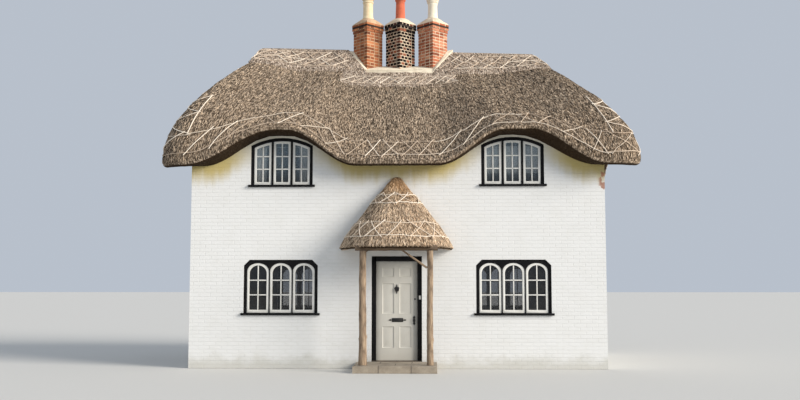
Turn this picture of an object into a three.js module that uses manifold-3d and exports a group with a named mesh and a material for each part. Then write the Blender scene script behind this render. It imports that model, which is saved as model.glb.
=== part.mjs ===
// A thatched cottage: white-painted brick walls, a hipped thatch with eyebrows over the upper windows,
// three diagonal brick stacks on the ridge and a conical thatched porch on rustic posts.
// Units are millimetres, +X to the right, +Y to the back, +Z up. The origin is at ground level, under the
// middle of the chimney breast, which is the middle of the four walls.

import * as THREE from "three";
import { ConvexGeometry } from "three/addons/geometries/ConvexGeometry.js";
import { mergeVertices } from "three/addons/utils/BufferGeometryUtils.js";
import Module from "manifold-3d";

const wasm = await Module();
wasm.setup();

// Driving dimensions

const GAP = 0.3; // clearance left where one piece is cut to fit another
const WALL = { halfWidth: 4180, halfDepth: 2250, thickness: 300 };
const FLOOR = { groundTop: 150, upperBottom: 2440, upperTop: 2600 };
const EAVE = { z: 4020, left: 4800, right: 4920, front: 2700, cornerRadius: 550 };
const LIP = { inset: 70, height: 100 };
const SOFFIT = { riseBetween: 50, riseAtCrown: 670, ringMargin: 20 };
const RIDGE = { left: 3040, right: 3005, z: 6858, halfWidth: 20, fall: 0.032 };
const SLOPE = { hipRoot: 0.84, hipStart: 2700, eyebrowFade: 1.5, sideFade: 4, cutReach: 3 };
const SADDLE = { sunk: 100, steps: [[0.8, 35], [0.87, 60], [0.94, 90], [1, 130]] };
const ATTIC = { ridgeZ: 6390, ridgeHalfLength: 2850, power: 1.1, hipRounding: 700 };
// The eyebrows of the front and the back, at the lip and, narrower, where the underside lies on the wall.
// Each side of an eyebrow is level over its plateau, then falls to the eave at its reach.
const EYEBROW = { x: 2300, rise: 690, inner: [100, 1470], outerLeft: [150, 1950], outerRight: [370, 1900] };
const WALL_EYEBROW = { x: 2300, inner: [100, 1470], outerLeft: [200, 1640], outerRight: [100, 1750] };
const SIDE_EYEBROW = [300, 2600]; // in the middle of each side
const WINDOW_X = 2340; // from the middle of the front to the middle of each window

const FRAME = { depth: 100, recess: 30, face: 64, sillHeight: 45, sillProjection: 50, sillHorn: 48 };
const CASEMENT = { depth: 45, setBack: 15, stile: 50, bottomRail: 64, lights: 3 };
const UPPER = { width: 1265, sillBottom: 3640, crown: 4650, mullion: 40, archRise: 160 };
const LOWER = { width: 1500, sillBottom: 1055, crown: 2165, mullion: 20, chamfer: 115, headRise: 165 };
const ARC_STEPS = { upper: 10, lower: 8 };
const GLASS = { thickness: 6, margin: 1 };

const DOOR = { width: 838, height: 1981, thickness: 44, play: 7 };
const DOOR_FRAME = { setBack: 40, depth: 110, width: 79, headHeight: 92 };
const STOP = { width: 12, depth: 55, gap: 5 };
const HINGE = { outside: 3.5, behind: 9, height: 90, flap: 34, flapThickness: 3, sides: 12 };
const HINGE_HEIGHTS = [180, 990, 1800];
const PANEL = { depth: 12, stile: 121, muntin: 92, railZ: [240, 680, 920, 1540, 1660, 1856] };

// The door's fittings, with their heights above the leaf's foot and their outlines about their own middles.
const KNOCKER = { height: 1420, top: 97, thickness: 12 };
const KNOCKER_RING = { radius: 34, wire: 7, out: 17, up: -12 };
KNOCKER.side = [[12, 74], [7, 54], [30, 44], [52, 26], [50, 4], [22, -36], [8, -52], [14, -72]];
const LETTER_PLATE = { x: 15, height: 802, thickness: 8.5, flap: { halfWidth: 92, halfHeight: 22, out: 14 } };
LETTER_PLATE.quarter = [[113, 40], [114, 12], [128, 8], [146, 18], [178, 2]];
const DOOR_PULL = { x: 347, height: 794, thickness: 6 };
DOOR_PULL.grip = { halfHeight: 58, radius: 8, out: 42, sides: 8 };
DOOR_PULL.quarter = [[2, 96], [12, 82], [26, 62], [17, 40], [26, 8]];

const BREAST = { halfWidth: 1120, halfDepth: 550, upperHalfDepth: 360, top: 6400, clearance: 15 };
const STACK = { spacing: 742, side: 472, capSide: 522, course: 70 };
const STACK_Z = { shaft: 7450, cap: 7595, mortar: 7720 };
const POT = { bore: 88, sides: 16 };
// Half outlines of the pots, as radius and height above the mortar.
const POT_OUTLINES = {
  left: [
    [[128, 0], [128, 45], [116, 60], [112, 385], [126, 392], [126, 412]],
    [[114, 420], [116, 455], [138, 470], [138, 500], [120, 510]],
  ].flat(),
  middle: [[118, 0], [118, 30], [110, 40], [100, 420], [116, 440], [122, 460], [116, 480]],
  right: [
    [[122, 0], [122, 40], [112, 52], [104, 330], [112, 345], [108, 360]],
    [[128, 385], [128, 410], [142, 440], [142, 470], [126, 480]],
  ].flat(),
};
const APRON = { halfWidth: 1200, frontHalfWidth: 725, depth: 520, sunk: 200 };
const APRON_Z = { ridge: 7015, corner: 6995, front: 6365, foot: 6509, gap: 6640, wingBase: 6500 };

const PORCH = { lipZ: 2355, thatch: 230, leftX: -622, rightX: 668, postY: -3080, steps: 40 };
// Half the outline of the porch's thatch, as radius and height.
const PORCH_OUTLINE = [
  [0, 3835],
  [80, 3810],
  [165, 3715],
  [380, 3450],
  [640, 3128],
  [857, 2846],
  [1040, 2585],
  [1130, 2420],
];
const BEAM = { radius: 56, top: 2420, overrun: 150, sides: 8 };
const BRACE = { footZ: 1947, headZ: 2338, reach: 548, footRadius: 21, headRadius: 17 };
const STEP = { halfWidth: 800, front: -3290, top: 140 };

const COLOURS = {
  limewash: 0xe9e6dc,
  thatch: 0x7d6a58,
  newThatch: 0xb08a5c,
  brick: 0x9a4a34,
  mortar: 0xc9bfa6,
  clayRed: 0xb5452c,
  clayBuff: 0xd8c49a,
  clayCream: 0xddd6bd,
  blackPaint: 0x16161a,
  doorPaint: 0xd9d3bd,
  iron: 0x0f0f10,
  glass: 0x9fb4c2,
  log: 0x8a6a4a,
  darkLog: 0x4a3526,
  stone: 0xa9967c,
  boards: 0x8d6f4c,
};

// Solids

// A closed three.js geometry as a solid, turned the right way out.
function solidOf(geometry) {
  const plain = geometry.index ? geometry.toNonIndexed() : geometry.clone();
  for (const name of Object.keys(plain.attributes)) if (name !== "position") plain.deleteAttribute(name);
  const merged = mergeVertices(plain, 1e-3);
  const corners = merged.index.array;
  const triangles = [];
  for (let i = 0; i < corners.length; i += 3) {
    const [a, b, c] = [corners[i], corners[i + 1], corners[i + 2]];
    if (a !== b && b !== c && c !== a) triangles.push(a, b, c);
  }
  const vertProperties = merged.attributes.position.array;
  const build = (order) => {
    const mesh = new wasm.Mesh({ numProp: 3, vertProperties, triVerts: new Uint32Array(order) });
    return new wasm.Manifold(mesh);
  };
  const made = build(triangles);
  return made.volume() >= 0 ? made : build(triangles.reverse());
}

// A solid back as a three.js geometry.
function geometryOf(solid) {
  const mesh = solid.getMesh();
  const positions = new Float32Array(mesh.numVert * 3);
  for (let i = 0; i < mesh.numVert; i += 1) {
    positions.set(mesh.vertProperties.subarray(i * mesh.numProp, i * mesh.numProp + 3), i * 3);
  }
  const geometry = new THREE.BufferGeometry();
  geometry.setAttribute("position", new THREE.BufferAttribute(positions, 3));
  geometry.setIndex(new THREE.BufferAttribute(mesh.triVerts, 1));
  geometry.computeVertexNormals();
  return geometry;
}

// A box from its lowest corner to its highest.
function box(low, high) {
  const size = high.map((value, axis) => value - low[axis]);
  const geometry = new THREE.BoxGeometry(...size);
  geometry.translate(...low.map((value, axis) => value + size[axis] / 2));
  return solidOf(geometry);
}

// A flat outline in X and Z, made solid from y = front to y = back.
function slab(shape, front, back) {
  const geometry = new THREE.ExtrudeGeometry(shape, { depth: back - front, bevelEnabled: false });
  geometry.rotateX(Math.PI / 2);
  geometry.translate(0, back, 0);
  return solidOf(geometry);
}

// A shape with the given [x, y] corners.
function polygon(corners) {
  return new THREE.Shape(corners.map(([x, y]) => new THREE.Vector2(x, y)));
}

// A plan outline in X and Y, made solid from z = bottom to z = top.
function prism(corners, bottom, top) {
  const geometry = new THREE.ExtrudeGeometry(polygon(corners), { depth: top - bottom, bevelEnabled: false });
  geometry.translate(0, 0, bottom);
  return solidOf(geometry);
}

// A round or many-sided pole between two points, with its flats square to the section's axes.
function pole(from, to, startRadius, endRadius, sides) {
  const start = new THREE.Vector3(...from);
  const along = new THREE.Vector3(...to).sub(start);
  const geometry = new THREE.CylinderGeometry(endRadius, startRadius, along.length(), sides);
  geometry.rotateY(Math.PI / sides);
  geometry.translate(0, along.length() / 2, 0);
  geometry.applyQuaternion(
    new THREE.Quaternion().setFromUnitVectors(new THREE.Vector3(0, 1, 0), along.clone().normalize()),
  );
  geometry.translate(...from);
  return solidOf(geometry);
}

// A solid of revolution about a vertical axis at x, y, from [radius, z] points.
function turned(profile, sides, x, y) {
  const geometry = new THREE.LatheGeometry(
    profile.map(([radius, z]) => new THREE.Vector2(radius, z)),
    sides,
  );
  geometry.rotateX(Math.PI / 2);
  geometry.translate(x, y, 0);
  return solidOf(geometry);
}

// A closed skin over rings with the same number of points, with flat caps seen along the given axes.
function loft(rings, capAxes) {
  const count = rings[0].length;
  const positions = rings.flat(2);
  const triangles = [];
  for (let level = 0; level + 1 < rings.length; level += 1) {
    for (let i = 0; i < count; i += 1) {
      const j = (i + 1) % count;
      const [a, b] = [level * count + i, level * count + j];
      const [c, d] = [a + count, b + count];
      triangles.push(a, b, d, a, d, c);
    }
  }
  const flat = (ring) => ring.map((point) => new THREE.Vector2(point[capAxes[0]], point[capAxes[1]]));
  const cap = (ring, first, facesBack) => {
    const outline = flat(ring);
    const backwards = THREE.ShapeUtils.isClockWise(outline) !== facesBack;
    for (const [a, b, c] of THREE.ShapeUtils.triangulateShape(outline, [])) {
      triangles.push(first + a, ...(backwards ? [first + c, first + b] : [first + b, first + c]));
    }
  };
  cap(rings[0], 0, true);
  cap(rings[rings.length - 1], (rings.length - 1) * count, false);
  const geometry = new THREE.BufferGeometry();
  geometry.setAttribute("position", new THREE.BufferAttribute(new Float32Array(positions), 3));
  geometry.setIndex(triangles);
  return solidOf(geometry);
}

// The convex solid that just holds a set of points.
function hull(points) {
  return solidOf(new ConvexGeometry(points.map((point) => new THREE.Vector3(...point))));
}

// The largest separate piece of a solid.
function largest(solid) {
  return solid.decompose().reduce((best, piece) => (piece.volume() > best.volume() ? piece : best));
}

// The roof

const COLUMNS = { front: 32, side: 14, corner: 5 };
const OUTER_LEVELS = [1, 0.86, 0.7, 0.52, 0.36, 0.22, 0.12, 0.05, 0.01, 0];
const ATTIC_LEVELS = [0.3, 0.65, 1];

// How much one eyebrow lifts the eave, from 0 to 1, at a distance from its crown.
function lift(offset, [plateau, reach]) {
  const share = (Math.abs(offset) - plateau) / (reach - plateau);
  return share <= 0 ? 1 : share >= 1 ? 0 : (1 + Math.cos(Math.PI * share)) / 2;
}

// The same for both eyebrows of the front or the back.
function eyebrow(x, shape) {
  const left = lift(x + shape.x, x < -shape.x ? shape.outerLeft : shape.inner);
  const right = lift(x - shape.x, x < shape.x ? shape.inner : shape.outerRight);
  return Math.max(left, right);
}

// The same for the one eyebrow of a side, which starts to rise in the corners.
function sideEyebrow(y) {
  return lift(y, SIDE_EYEBROW);
}

// One closed ring round the house: a rounded rectangle in plan, with the eyebrow share at each point.
function planRing({ left, right, y: halfY }, radius, shape = EYEBROW) {
  const points = [];
  const [flatLeft, flatRight, flatY] = [radius - left, right - radius, halfY - radius];
  const straight = (count, from, to) => {
    for (let i = 0; i < count; i += 1) {
      const share = i / count;
      const [x, y] = [from[0] + (to[0] - from[0]) * share, from[1] + (to[1] - from[1]) * share];
      points.push([x, y, from[0] === to[0] ? sideEyebrow(y) : eyebrow(x, shape)]);
    }
  };
  const arc = (centreX, centreY, startAngle) => {
    for (let i = 0; i < COLUMNS.corner; i += 1) {
      const angle = startAngle + ((Math.PI / 2) * i) / COLUMNS.corner;
      const y = centreY + radius * Math.sin(angle);
      points.push([centreX + radius * Math.cos(angle), y, Math.abs(Math.cos(angle)) * sideEyebrow(y)]);
    }
  };
  straight(COLUMNS.front, [flatLeft, -halfY], [flatRight, -halfY]);
  arc(flatRight, -flatY, -Math.PI / 2);
  straight(COLUMNS.side, [right, -flatY], [right, flatY]);
  arc(flatRight, flatY, 0);
  straight(COLUMNS.front, [flatRight, halfY], [flatLeft, halfY]);
  arc(flatLeft, flatY, Math.PI / 2);
  straight(COLUMNS.side, [-left, flatY], [-left, -flatY]);
  arc(flatLeft, -flatY, Math.PI);
  return points;
}

const { lerp, smoothstep } = THREE.MathUtils;
const eaveRing = planRing({ ...EAVE, y: EAVE.front }, EAVE.cornerRadius);
const ridgeRing = planRing({ ...RIDGE, y: RIDGE.halfWidth }, RIDGE.halfWidth * 0.98);

// Whether a point of the eave is on a side or a corner.
function onSide([, y]) {
  return Math.abs(y) < EAVE.front - 1;
}

// How fully the thatch bulges above a point of the eave: not at all in the middle, fully round the hips.
function bulge(eave) {
  const straightEnd = (eave[0] < 0 ? EAVE.left : EAVE.right) - EAVE.cornerRadius;
  return onSide(eave) ? 1 : smoothstep(Math.abs(eave[0]), SLOPE.hipStart, straightEnd);
}

// The outer face of the thatch at a share of the way in from the lip to the ridge, or a layer above it.
function outerRing(share, above = 0) {
  const hipHeight = SLOPE.hipRoot * Math.sqrt(share) + (1 - SLOPE.hipRoot) * share;
  return eaveRing.map((eave, i) => {
    const [x, y] = [lerp(eave[0], ridgeRing[i][0], share), lerp(eave[1], ridgeRing[i][1], share)];
    const height = lerp(share, hipHeight, bulge(eave));
    const fade = onSide(eave) ? SLOPE.sideFade : SLOPE.eyebrowFade;
    const raised = EYEBROW.rise * eave[2] * (1 - share) ** fade;
    return [x, y, lerp(EAVE.z + LIP.height, RIDGE.z - RIDGE.fall * x, height) + raised + above];
  });
}

// The underside of the eave where it lies on the wall, at a ring round the wall's outer or inner face.
function soffitRing(halfX, halfY) {
  const ring = planRing({ left: halfX, right: halfX, y: halfY }, SOFFIT.ringMargin, WALL_EYEBROW);
  return ring.map(([x, y, raised]) => [x, y, EAVE.z + lerp(SOFFIT.riseBetween, SOFFIT.riseAtCrown, raised)]);
}

// The inner face of the thatch, over the upper rooms.
function atticRing(share) {
  const start = { x: WALL.halfWidth - WALL.thickness, y: WALL.halfDepth - WALL.thickness };
  const halfX = ATTIC.ridgeHalfLength + (start.x - ATTIC.ridgeHalfLength) * (1 - share ** ATTIC.power);
  const halfY = RIDGE.halfWidth + (start.y - RIDGE.halfWidth) * (1 - share ** ATTIC.power);
  const radius = Math.min(halfY * 0.98, SOFFIT.ringMargin + ATTIC.hipRounding * share);
  const low = EAVE.z + SOFFIT.riseBetween;
  const z = low + (ATTIC.ridgeZ - low) * share;
  const fade = (SOFFIT.riseAtCrown - SOFFIT.riseBetween) * (1 - share) ** SLOPE.eyebrowFade;
  const ring = planRing({ left: halfX, right: halfX, y: halfY }, radius, WALL_EYEBROW);
  return ring.map(([x, y, raised]) => [x, y, z + fade * raised]);
}

function wholeThatch() {
  const [left, right, y] = [EAVE.left, EAVE.right, EAVE.front].map((reach) => reach - LIP.inset);
  const lip = planRing({ left, right, y }, EAVE.cornerRadius);
  const rings = OUTER_LEVELS.map((share) => outerRing(share));
  rings.push(lip.map(([x, y, raised]) => [x, y, EAVE.z + EYEBROW.rise * raised]));
  const margin = SOFFIT.ringMargin;
  rings.push(soffitRing(WALL.halfWidth + margin, WALL.halfDepth + margin));
  rings.push(soffitRing(WALL.halfWidth - WALL.thickness, WALL.halfDepth - WALL.thickness));
  for (const share of ATTIC_LEVELS) rings.push(atticRing(share));
  return loft(rings, [0, 1]);
}

const thatch = wholeThatch();

// Walls and windows

// Each wall's own frame: x along the wall as seen from outside, y into the house from its outer face, z up.
const SIDES = {
  front: { turn: 0, at: [0, -WALL.halfDepth] },
  right: { turn: Math.PI / 2, at: [WALL.halfWidth, 0] },
  back: { turn: Math.PI, at: [0, WALL.halfDepth] },
  left: { turn: -Math.PI / 2, at: [-WALL.halfWidth, 0] },
};

// Moves a solid from a place on a wall's own frame to the house.
function onWall(solid, side, x) {
  const { turn, at } = SIDES[side];
  const degrees = THREE.MathUtils.radToDeg(turn);
  return solid.translate([x, 0, 0]).rotate([0, 0, degrees]).translate([at[0], at[1], 0]);
}

// The outline of an upper window's frame: upright jambs under a flat arch.
function upperOutline(inset) {
  const half = UPPER.width / 2;
  const radius = (half * half + UPPER.archRise * UPPER.archRise) / (2 * UPPER.archRise);
  const centreZ = UPPER.crown - radius;
  const inner = { half: half - inset, radius: radius - inset };
  const reach = Math.asin(inner.half / inner.radius);
  const bottom = UPPER.sillBottom + (inset > 0 ? FRAME.sillHeight : inset);
  const corners = [
    [-inner.half, bottom],
    [inner.half, bottom],
  ];
  for (let i = 0; i <= ARC_STEPS.upper; i += 1) {
    const angle = reach - (2 * reach * i) / ARC_STEPS.upper;
    corners.push([inner.radius * Math.sin(angle), centreZ + inner.radius * Math.cos(angle)]);
  }
  return corners;
}

// The outline of a lower window's frame: a flat head with its corners cut off.
function lowerOutline(inset) {
  const half = LOWER.width / 2 - inset;
  const bottom = LOWER.sillBottom + (inset > 0 ? FRAME.sillHeight : inset);
  const top = LOWER.crown - inset;
  return [
    [-half, bottom],
    [half, bottom],
    [half, top - LOWER.chamfer],
    [half - LOWER.chamfer, top],
    [-half + LOWER.chamfer, top],
    [-half, top - LOWER.chamfer],
  ];
}

// The middle and the width of each of the three lights between the jambs and mullions.
function lights({ width, mullion }) {
  const light = (width - 2 * FRAME.face - (CASEMENT.lights - 1) * mullion) / CASEMENT.lights;
  return [-1, 0, 1].map((place) => ({ middle: place * (light + mullion), width: light }));
}

// A light of a lower window: upright sides under half an ellipse.
function roundHeaded(middle, width, bottom, top) {
  const half = width / 2;
  const corners = [
    [middle - half, bottom],
    [middle + half, bottom],
  ];
  for (let i = 0; i <= ARC_STEPS.lower; i += 1) {
    const angle = (Math.PI * i) / ARC_STEPS.lower;
    corners.push([middle + half * Math.cos(angle), top - LOWER.headRise * (1 - Math.sin(angle))]);
  }
  return corners;
}

// The sill, with a horn past the frame at each side, in front of the wall.
function sill(width, bottom) {
  const half = width / 2;
  const top = bottom + FRAME.sillHeight;
  const horn = half + FRAME.sillHorn;
  const nose = box([-horn, -FRAME.sillProjection, bottom], [horn, -GAP, top]);
  return nose.add(box([-half, -FRAME.sillProjection, bottom], [half, FRAME.recess + FRAME.depth, top]));
}

// The clear shape of one light, drawn in by an inset, from y = front to y = back.
function lightShape(kind, light, inset, bottom, front, back) {
  const half = light.width / 2 - inset;
  if (kind === "lower") {
    const top = LOWER.crown - FRAME.face - inset;
    return slab(polygon(roundHeaded(light.middle, 2 * half, bottom, top)), front, back);
  }
  const arch = slab(polygon(upperOutline(FRAME.face + inset)), front, back);
  return arch.intersect(box([light.middle - half, front, bottom], [light.middle + half, back, UPPER.crown]));
}

// One window's joinery: the painted frame with its sill and mullions, and the three casements shut in it.
function windowJoinery(kind) {
  const window = kind === "upper" ? UPPER : LOWER;
  const bottom = window.sillBottom + FRAME.sillHeight;
  const [front, back] = [FRAME.recess, FRAME.recess + FRAME.depth];
  const casementFront = front + CASEMENT.setBack;
  const casementBack = casementFront + CASEMENT.depth;
  let joinery = slab(polygon(kind === "upper" ? upperOutline(0) : lowerOutline(0)), front, back);
  for (const light of lights(window)) {
    const casement = lightShape(kind, light, 0, bottom, casementFront, casementBack);
    const pane = lightShape(kind, light, CASEMENT.stile, bottom + CASEMENT.bottomRail, front, back);
    const opening = lightShape(kind, light, 0, bottom, front - 1, back + 1);
    joinery = joinery.subtract(opening).add(casement.subtract(pane));
  }
  return joinery.add(sill(window.width, window.sillBottom));
}

// The hole that a window's frame fills, right through its wall.
function windowHole(kind) {
  const outline = kind === "upper" ? upperOutline(-GAP) : lowerOutline(-GAP);
  return slab(polygon(outline), -WALL.thickness, 2 * WALL.thickness);
}

// One sheet of glass behind the joinery, over the three lights.
function windowGlass(kind) {
  const outline = kind === "upper" ? upperOutline(GLASS.margin) : lowerOutline(GLASS.margin);
  const front = FRAME.recess + FRAME.depth + GAP;
  return slab(polygon(outline), front, front + GLASS.thickness);
}

const windows = [];
for (const side of ["front", "back"]) {
  for (const kind of ["upper", "lower"]) {
    windows.push({ side, kind, hand: "left", x: -WINDOW_X }, { side, kind, hand: "right", x: WINDOW_X });
  }
}
for (const side of ["left", "right"]) {
  for (const kind of ["upper", "lower"]) windows.push({ side, kind, hand: "", x: 0 });
}

// A wall along the whole of one side, under the thatch, with its windows cut through.
function wallBlank(side, from, to, bottom) {
  const top = EAVE.z + SOFFIT.riseAtCrown + 20;
  let wall = onWall(box([from, 0, bottom], [to, WALL.thickness, top]), side, 0);
  for (const window of windows.filter((each) => each.side === side)) {
    wall = wall.subtract(onWall(windowHole(window.kind), side, window.x));
  }
  return largest(wall.subtract(thatch.translate([0, 0, -GAP])));
}

// Half the width of the doorway in the brickwork, and the heights that the door and its frame set.
const doorHalf = DOOR.width / 2 + DOOR.play + DOOR_FRAME.width;
const leafBottom = FLOOR.groundTop + DOOR.play;
const headBottom = leafBottom + DOOR.height + DOOR.play;
const doorwayTop = headBottom + DOOR_FRAME.headHeight;

// The chimney

const stackNames = ["left", "middle", "right"];

// A square prism turned so that one corner faces the front, centred on a stack.
function diamond(side, bottom, top, x) {
  const half = side / Math.SQRT2;
  const corners = [
    [x - half, 0],
    [x, -half],
    [x + half, 0],
    [x, half],
  ];
  return prism(corners, bottom, top);
}

// One stack: the shaft, the two courses that step out at its head and the mortar that holds the pot.
function stack(x) {
  const capHalf = STACK.capSide / Math.SQRT2;
  const mortar = new THREE.CylinderGeometry(POT.bore + 70, capHalf - 8, STACK_Z.mortar - STACK_Z.cap, 4);
  mortar.rotateX(Math.PI / 2);
  mortar.translate(x, 0, (STACK_Z.mortar + STACK_Z.cap) / 2);
  return diamond(STACK.side, BREAST.top + GAP, STACK_Z.shaft + 1, x)
    .add(diamond(STACK.side + 20, STACK_Z.shaft - STACK.course, STACK_Z.shaft + 1, x))
    .add(diamond(STACK.capSide, STACK_Z.shaft, STACK_Z.cap, x))
    .add(solidOf(mortar));
}

// One chimney pot, an open clay tube on the mortar.
function pot(name, x) {
  const outside = POT_OUTLINES[name].map(([radius, z]) => [radius, STACK_Z.mortar + GAP + z]);
  const top = outside[outside.length - 1][1];
  const bottom = STACK_Z.mortar + GAP;
  return turned([...outside, [POT.bore, top], [POT.bore, bottom], outside[0]], POT.sides, x, 0);
}

// The plan of the mortar skirt: wide at the ridge and narrower where it ends down each slope.
function apronPlan(margin) {
  const { halfWidth, frontHalfWidth, depth } = APRON;
  return [
    [-halfWidth - margin, 0],
    [-frontHalfWidth - margin, -depth - margin],
    [frontHalfWidth + margin, -depth - margin],
    [halfWidth + margin, 0],
    [frontHalfWidth + margin, depth + margin],
    [-frontHalfWidth - margin, depth + margin],
  ];
}

// The mortar skirt round the feet of the stacks: a low crown between them, a wing up to the ridge at each end.
function apron() {
  const foot = STACK.side / Math.SQRT2;
  const edge = [
    [APRON.frontHalfWidth, APRON.depth, APRON_Z.front],
    [APRON.frontHalfWidth, APRON.depth, APRON_Z.front - APRON.sunk],
    [STACK.spacing, foot, APRON_Z.foot],
  ].flatMap(([x, y, z]) => [[x, -y, z], [x, y, z]]);
  const crown = [STACK.spacing - foot, 0, APRON_Z.gap];
  const wing = [
    ...edge,
    [APRON.halfWidth, 0, APRON_Z.ridge],
    [APRON.halfWidth, 0, APRON_Z.wingBase],
    [STACK.spacing + foot, 0, APRON_Z.corner],
  ];
  const mirrored = (points) => points.map(([x, y, z]) => [-x, y, z]);
  const middle = [...edge, crown];
  let skirt = hull([...middle, ...mirrored(middle)]).add(hull(wing)).add(hull(mirrored(wing)));
  skirt = skirt.subtract(roof.translate([0, 0, GAP])).subtract(breastSpace(GAP));
  stackNames.forEach((name, i) => {
    skirt = skirt.subtract(diamond(STACK.side + 2 * GAP, EAVE.z, STACK_Z.cap, (i - 1) * STACK.spacing));
  });
  return largest(skirt);
}

// The upper part of the chimney breast, with room round it.
function breastSpace(margin) {
  const [x, y] = [BREAST.halfWidth + margin, BREAST.upperHalfDepth + margin];
  return box([-x, -y, FLOOR.upperBottom], [x, y, BREAST.top + margin]);
}

function chimneyBreast() {
  const { halfWidth, halfDepth } = BREAST;
  const lower = box([-halfWidth, -halfDepth, 0], [halfWidth, halfDepth, FLOOR.upperBottom]);
  return lower.add(breastSpace(0));
}

// The thatch with the hole that the chimney passes through.
const hole = { x: BREAST.halfWidth + BREAST.clearance, y: BREAST.upperHalfDepth + BREAST.clearance };
const roof = thatch.subtract(box([-hole.x, -hole.y, EAVE.z], [hole.x, hole.y, STACK_Z.cap]));

// One slope of the thatch: what lies between the hip lines that run down from the ridge's ends.
function slope(side) {
  const farY = EAVE.front * SLOPE.cutReach;
  const leftX = lerp(-RIDGE.left, -EAVE.left, SLOPE.cutReach);
  const rightX = lerp(RIDGE.right, EAVE.right, SLOPE.cutReach);
  const front = [
    [leftX, -farY - GAP],
    [rightX, -farY - GAP],
    [RIDGE.right, -GAP / 2],
    [-RIDGE.left, -GAP / 2],
  ];
  const end = (tipX, farX) => [
    [tipX, 0],
    [farX, -farY + GAP],
    [farX, farY - GAP],
  ];
  const plans = {
    front,
    back: front.map(([x, y]) => [x, -y]),
    left: end(-RIDGE.left - GAP, leftX - GAP),
    right: end(RIDGE.right + GAP, rightX + GAP),
  };
  return largest(roof.intersect(prism(plans[side], EAVE.z - LIP.height, STACK_Z.cap)));
}

// The layer of straw wrapped over the top of the thatch, on one side of the chimney.
function saddle(hand) {
  const under = [outerRing(1, -SADDLE.sunk), outerRing(SADDLE.steps[0][0], -SADDLE.sunk)];
  const layer = loft([...under, ...SADDLE.steps.map(([share, above]) => outerRing(share, above))], [0, 1]);
  const [from, to] = hand === "left" ? [-EAVE.left, 0] : [0, EAVE.right];
  const over = layer
    .intersect(box([from, -EAVE.front, EAVE.z], [to, EAVE.front, STACK_Z.cap]))
    .subtract(roof.translate([0, 0, GAP]))
    .subtract(breastSpace(GAP));
  return largest(over.subtract(prism(apronPlan(GAP), EAVE.z, STACK_Z.cap)));
}

// The porch

const beamBottom = BEAM.top - 2 * BEAM.radius * Math.cos(Math.PI / BEAM.sides);

// The frame of poles on the porch's posts: one across the front and one back to the wall at each side.
function porchBeam(grow) {
  const radius = BEAM.radius + grow;
  const z = BEAM.top - BEAM.radius * Math.cos(Math.PI / BEAM.sides);
  const [left, right] = [PORCH.leftX - BEAM.overrun, PORCH.rightX + BEAM.overrun];
  let beam = pole([left, PORCH.postY, z], [right, PORCH.postY, z], radius, radius, BEAM.sides);
  for (const x of [PORCH.leftX, PORCH.rightX]) {
    const wallEnd = grow > 0 ? -WALL.halfDepth + 1 : -WALL.halfDepth - GAP;
    beam = beam.add(pole([x, PORCH.postY, z], [x, wallEnd, z], radius, radius, BEAM.sides));
  }
  return beam;
}

// The conical thatch, cut off flat against the wall and grooved over the poles that carry it.
function porchThatch() {
  const { lipZ, thatch: thick } = PORCH;
  const [apexZ, lipRadius] = [PORCH_OUTLINE[0][1], PORCH_OUTLINE[PORCH_OUTLINE.length - 1][0]];
  const inner = { radius: lipRadius - thick, bottom: lipZ + 90, top: apexZ - thick * 1.5 };
  const profile = [
    ...PORCH_OUTLINE,
    [lipRadius - 25, lipZ],
    [inner.radius, inner.bottom],
    [inner.radius / 2, (inner.bottom + inner.top) / 2],
    [0, inner.top],
  ];
  const cone = turned(profile, PORCH.steps, 0, -WALL.halfDepth);
  const wide = 2 * lipRadius;
  const outside = box([-wide, -2 * WALL.halfDepth, 0], [wide, -WALL.halfDepth - GAP, apexZ]);
  return largest(cone.intersect(outside).subtract(porchBeam(GAP)));
}

// A rustic post: a log with swellings at its knots, on the step and under the poles.
function porchPost(x, y, radii) {
  const [bottom, top] = [STEP.top, beamBottom - GAP];
  const rise = (top - bottom) / (radii.length - 1);
  const profile = [[0, bottom], ...radii.map((radius, i) => [radius, bottom + i * rise]), [0, top]];
  return turned(profile, 12, x, y);
}

// The thin stick that braces the right post under the front pole.
function porchBrace(post) {
  const foot = [PORCH.rightX, PORCH.postY, BRACE.footZ];
  const head = [PORCH.rightX - BRACE.reach, PORCH.postY, BRACE.headZ];
  const stick = pole(foot, head, BRACE.footRadius, BRACE.headRadius, BEAM.sides);
  return largest(stick.subtract(post.translate([-GAP, 0, 0])).subtract(porchBeam(0).translate([0, 0, -GAP])));
}

// The door

function doorFrame() {
  const { depth } = DOOR_FRAME;
  const front = DOOR_FRAME.setBack - WALL.halfDepth;
  const clear = DOOR.width / 2 + DOOR.play;
  const half = doorHalf - GAP;
  const outer = box([-half, front, FLOOR.groundTop], [half, front + depth, doorwayTop - GAP]);
  const rebate = box([-clear, front + STOP.depth, 0], [clear, front + depth + 1, headBottom]);
  const [side, head] = [clear - STOP.width, headBottom - STOP.width];
  return outer.subtract(rebate).subtract(box([-side, front - 1, 0], [side, front + depth + 1, head]));
}

const leafFront = -WALL.halfDepth + DOOR_FRAME.setBack + STOP.depth + STOP.gap;
const leafBack = leafFront + DOOR.thickness;
const hingeAxis = [-DOOR.width / 2 - HINGE.outside, leafBack + HINGE.behind];

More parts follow.
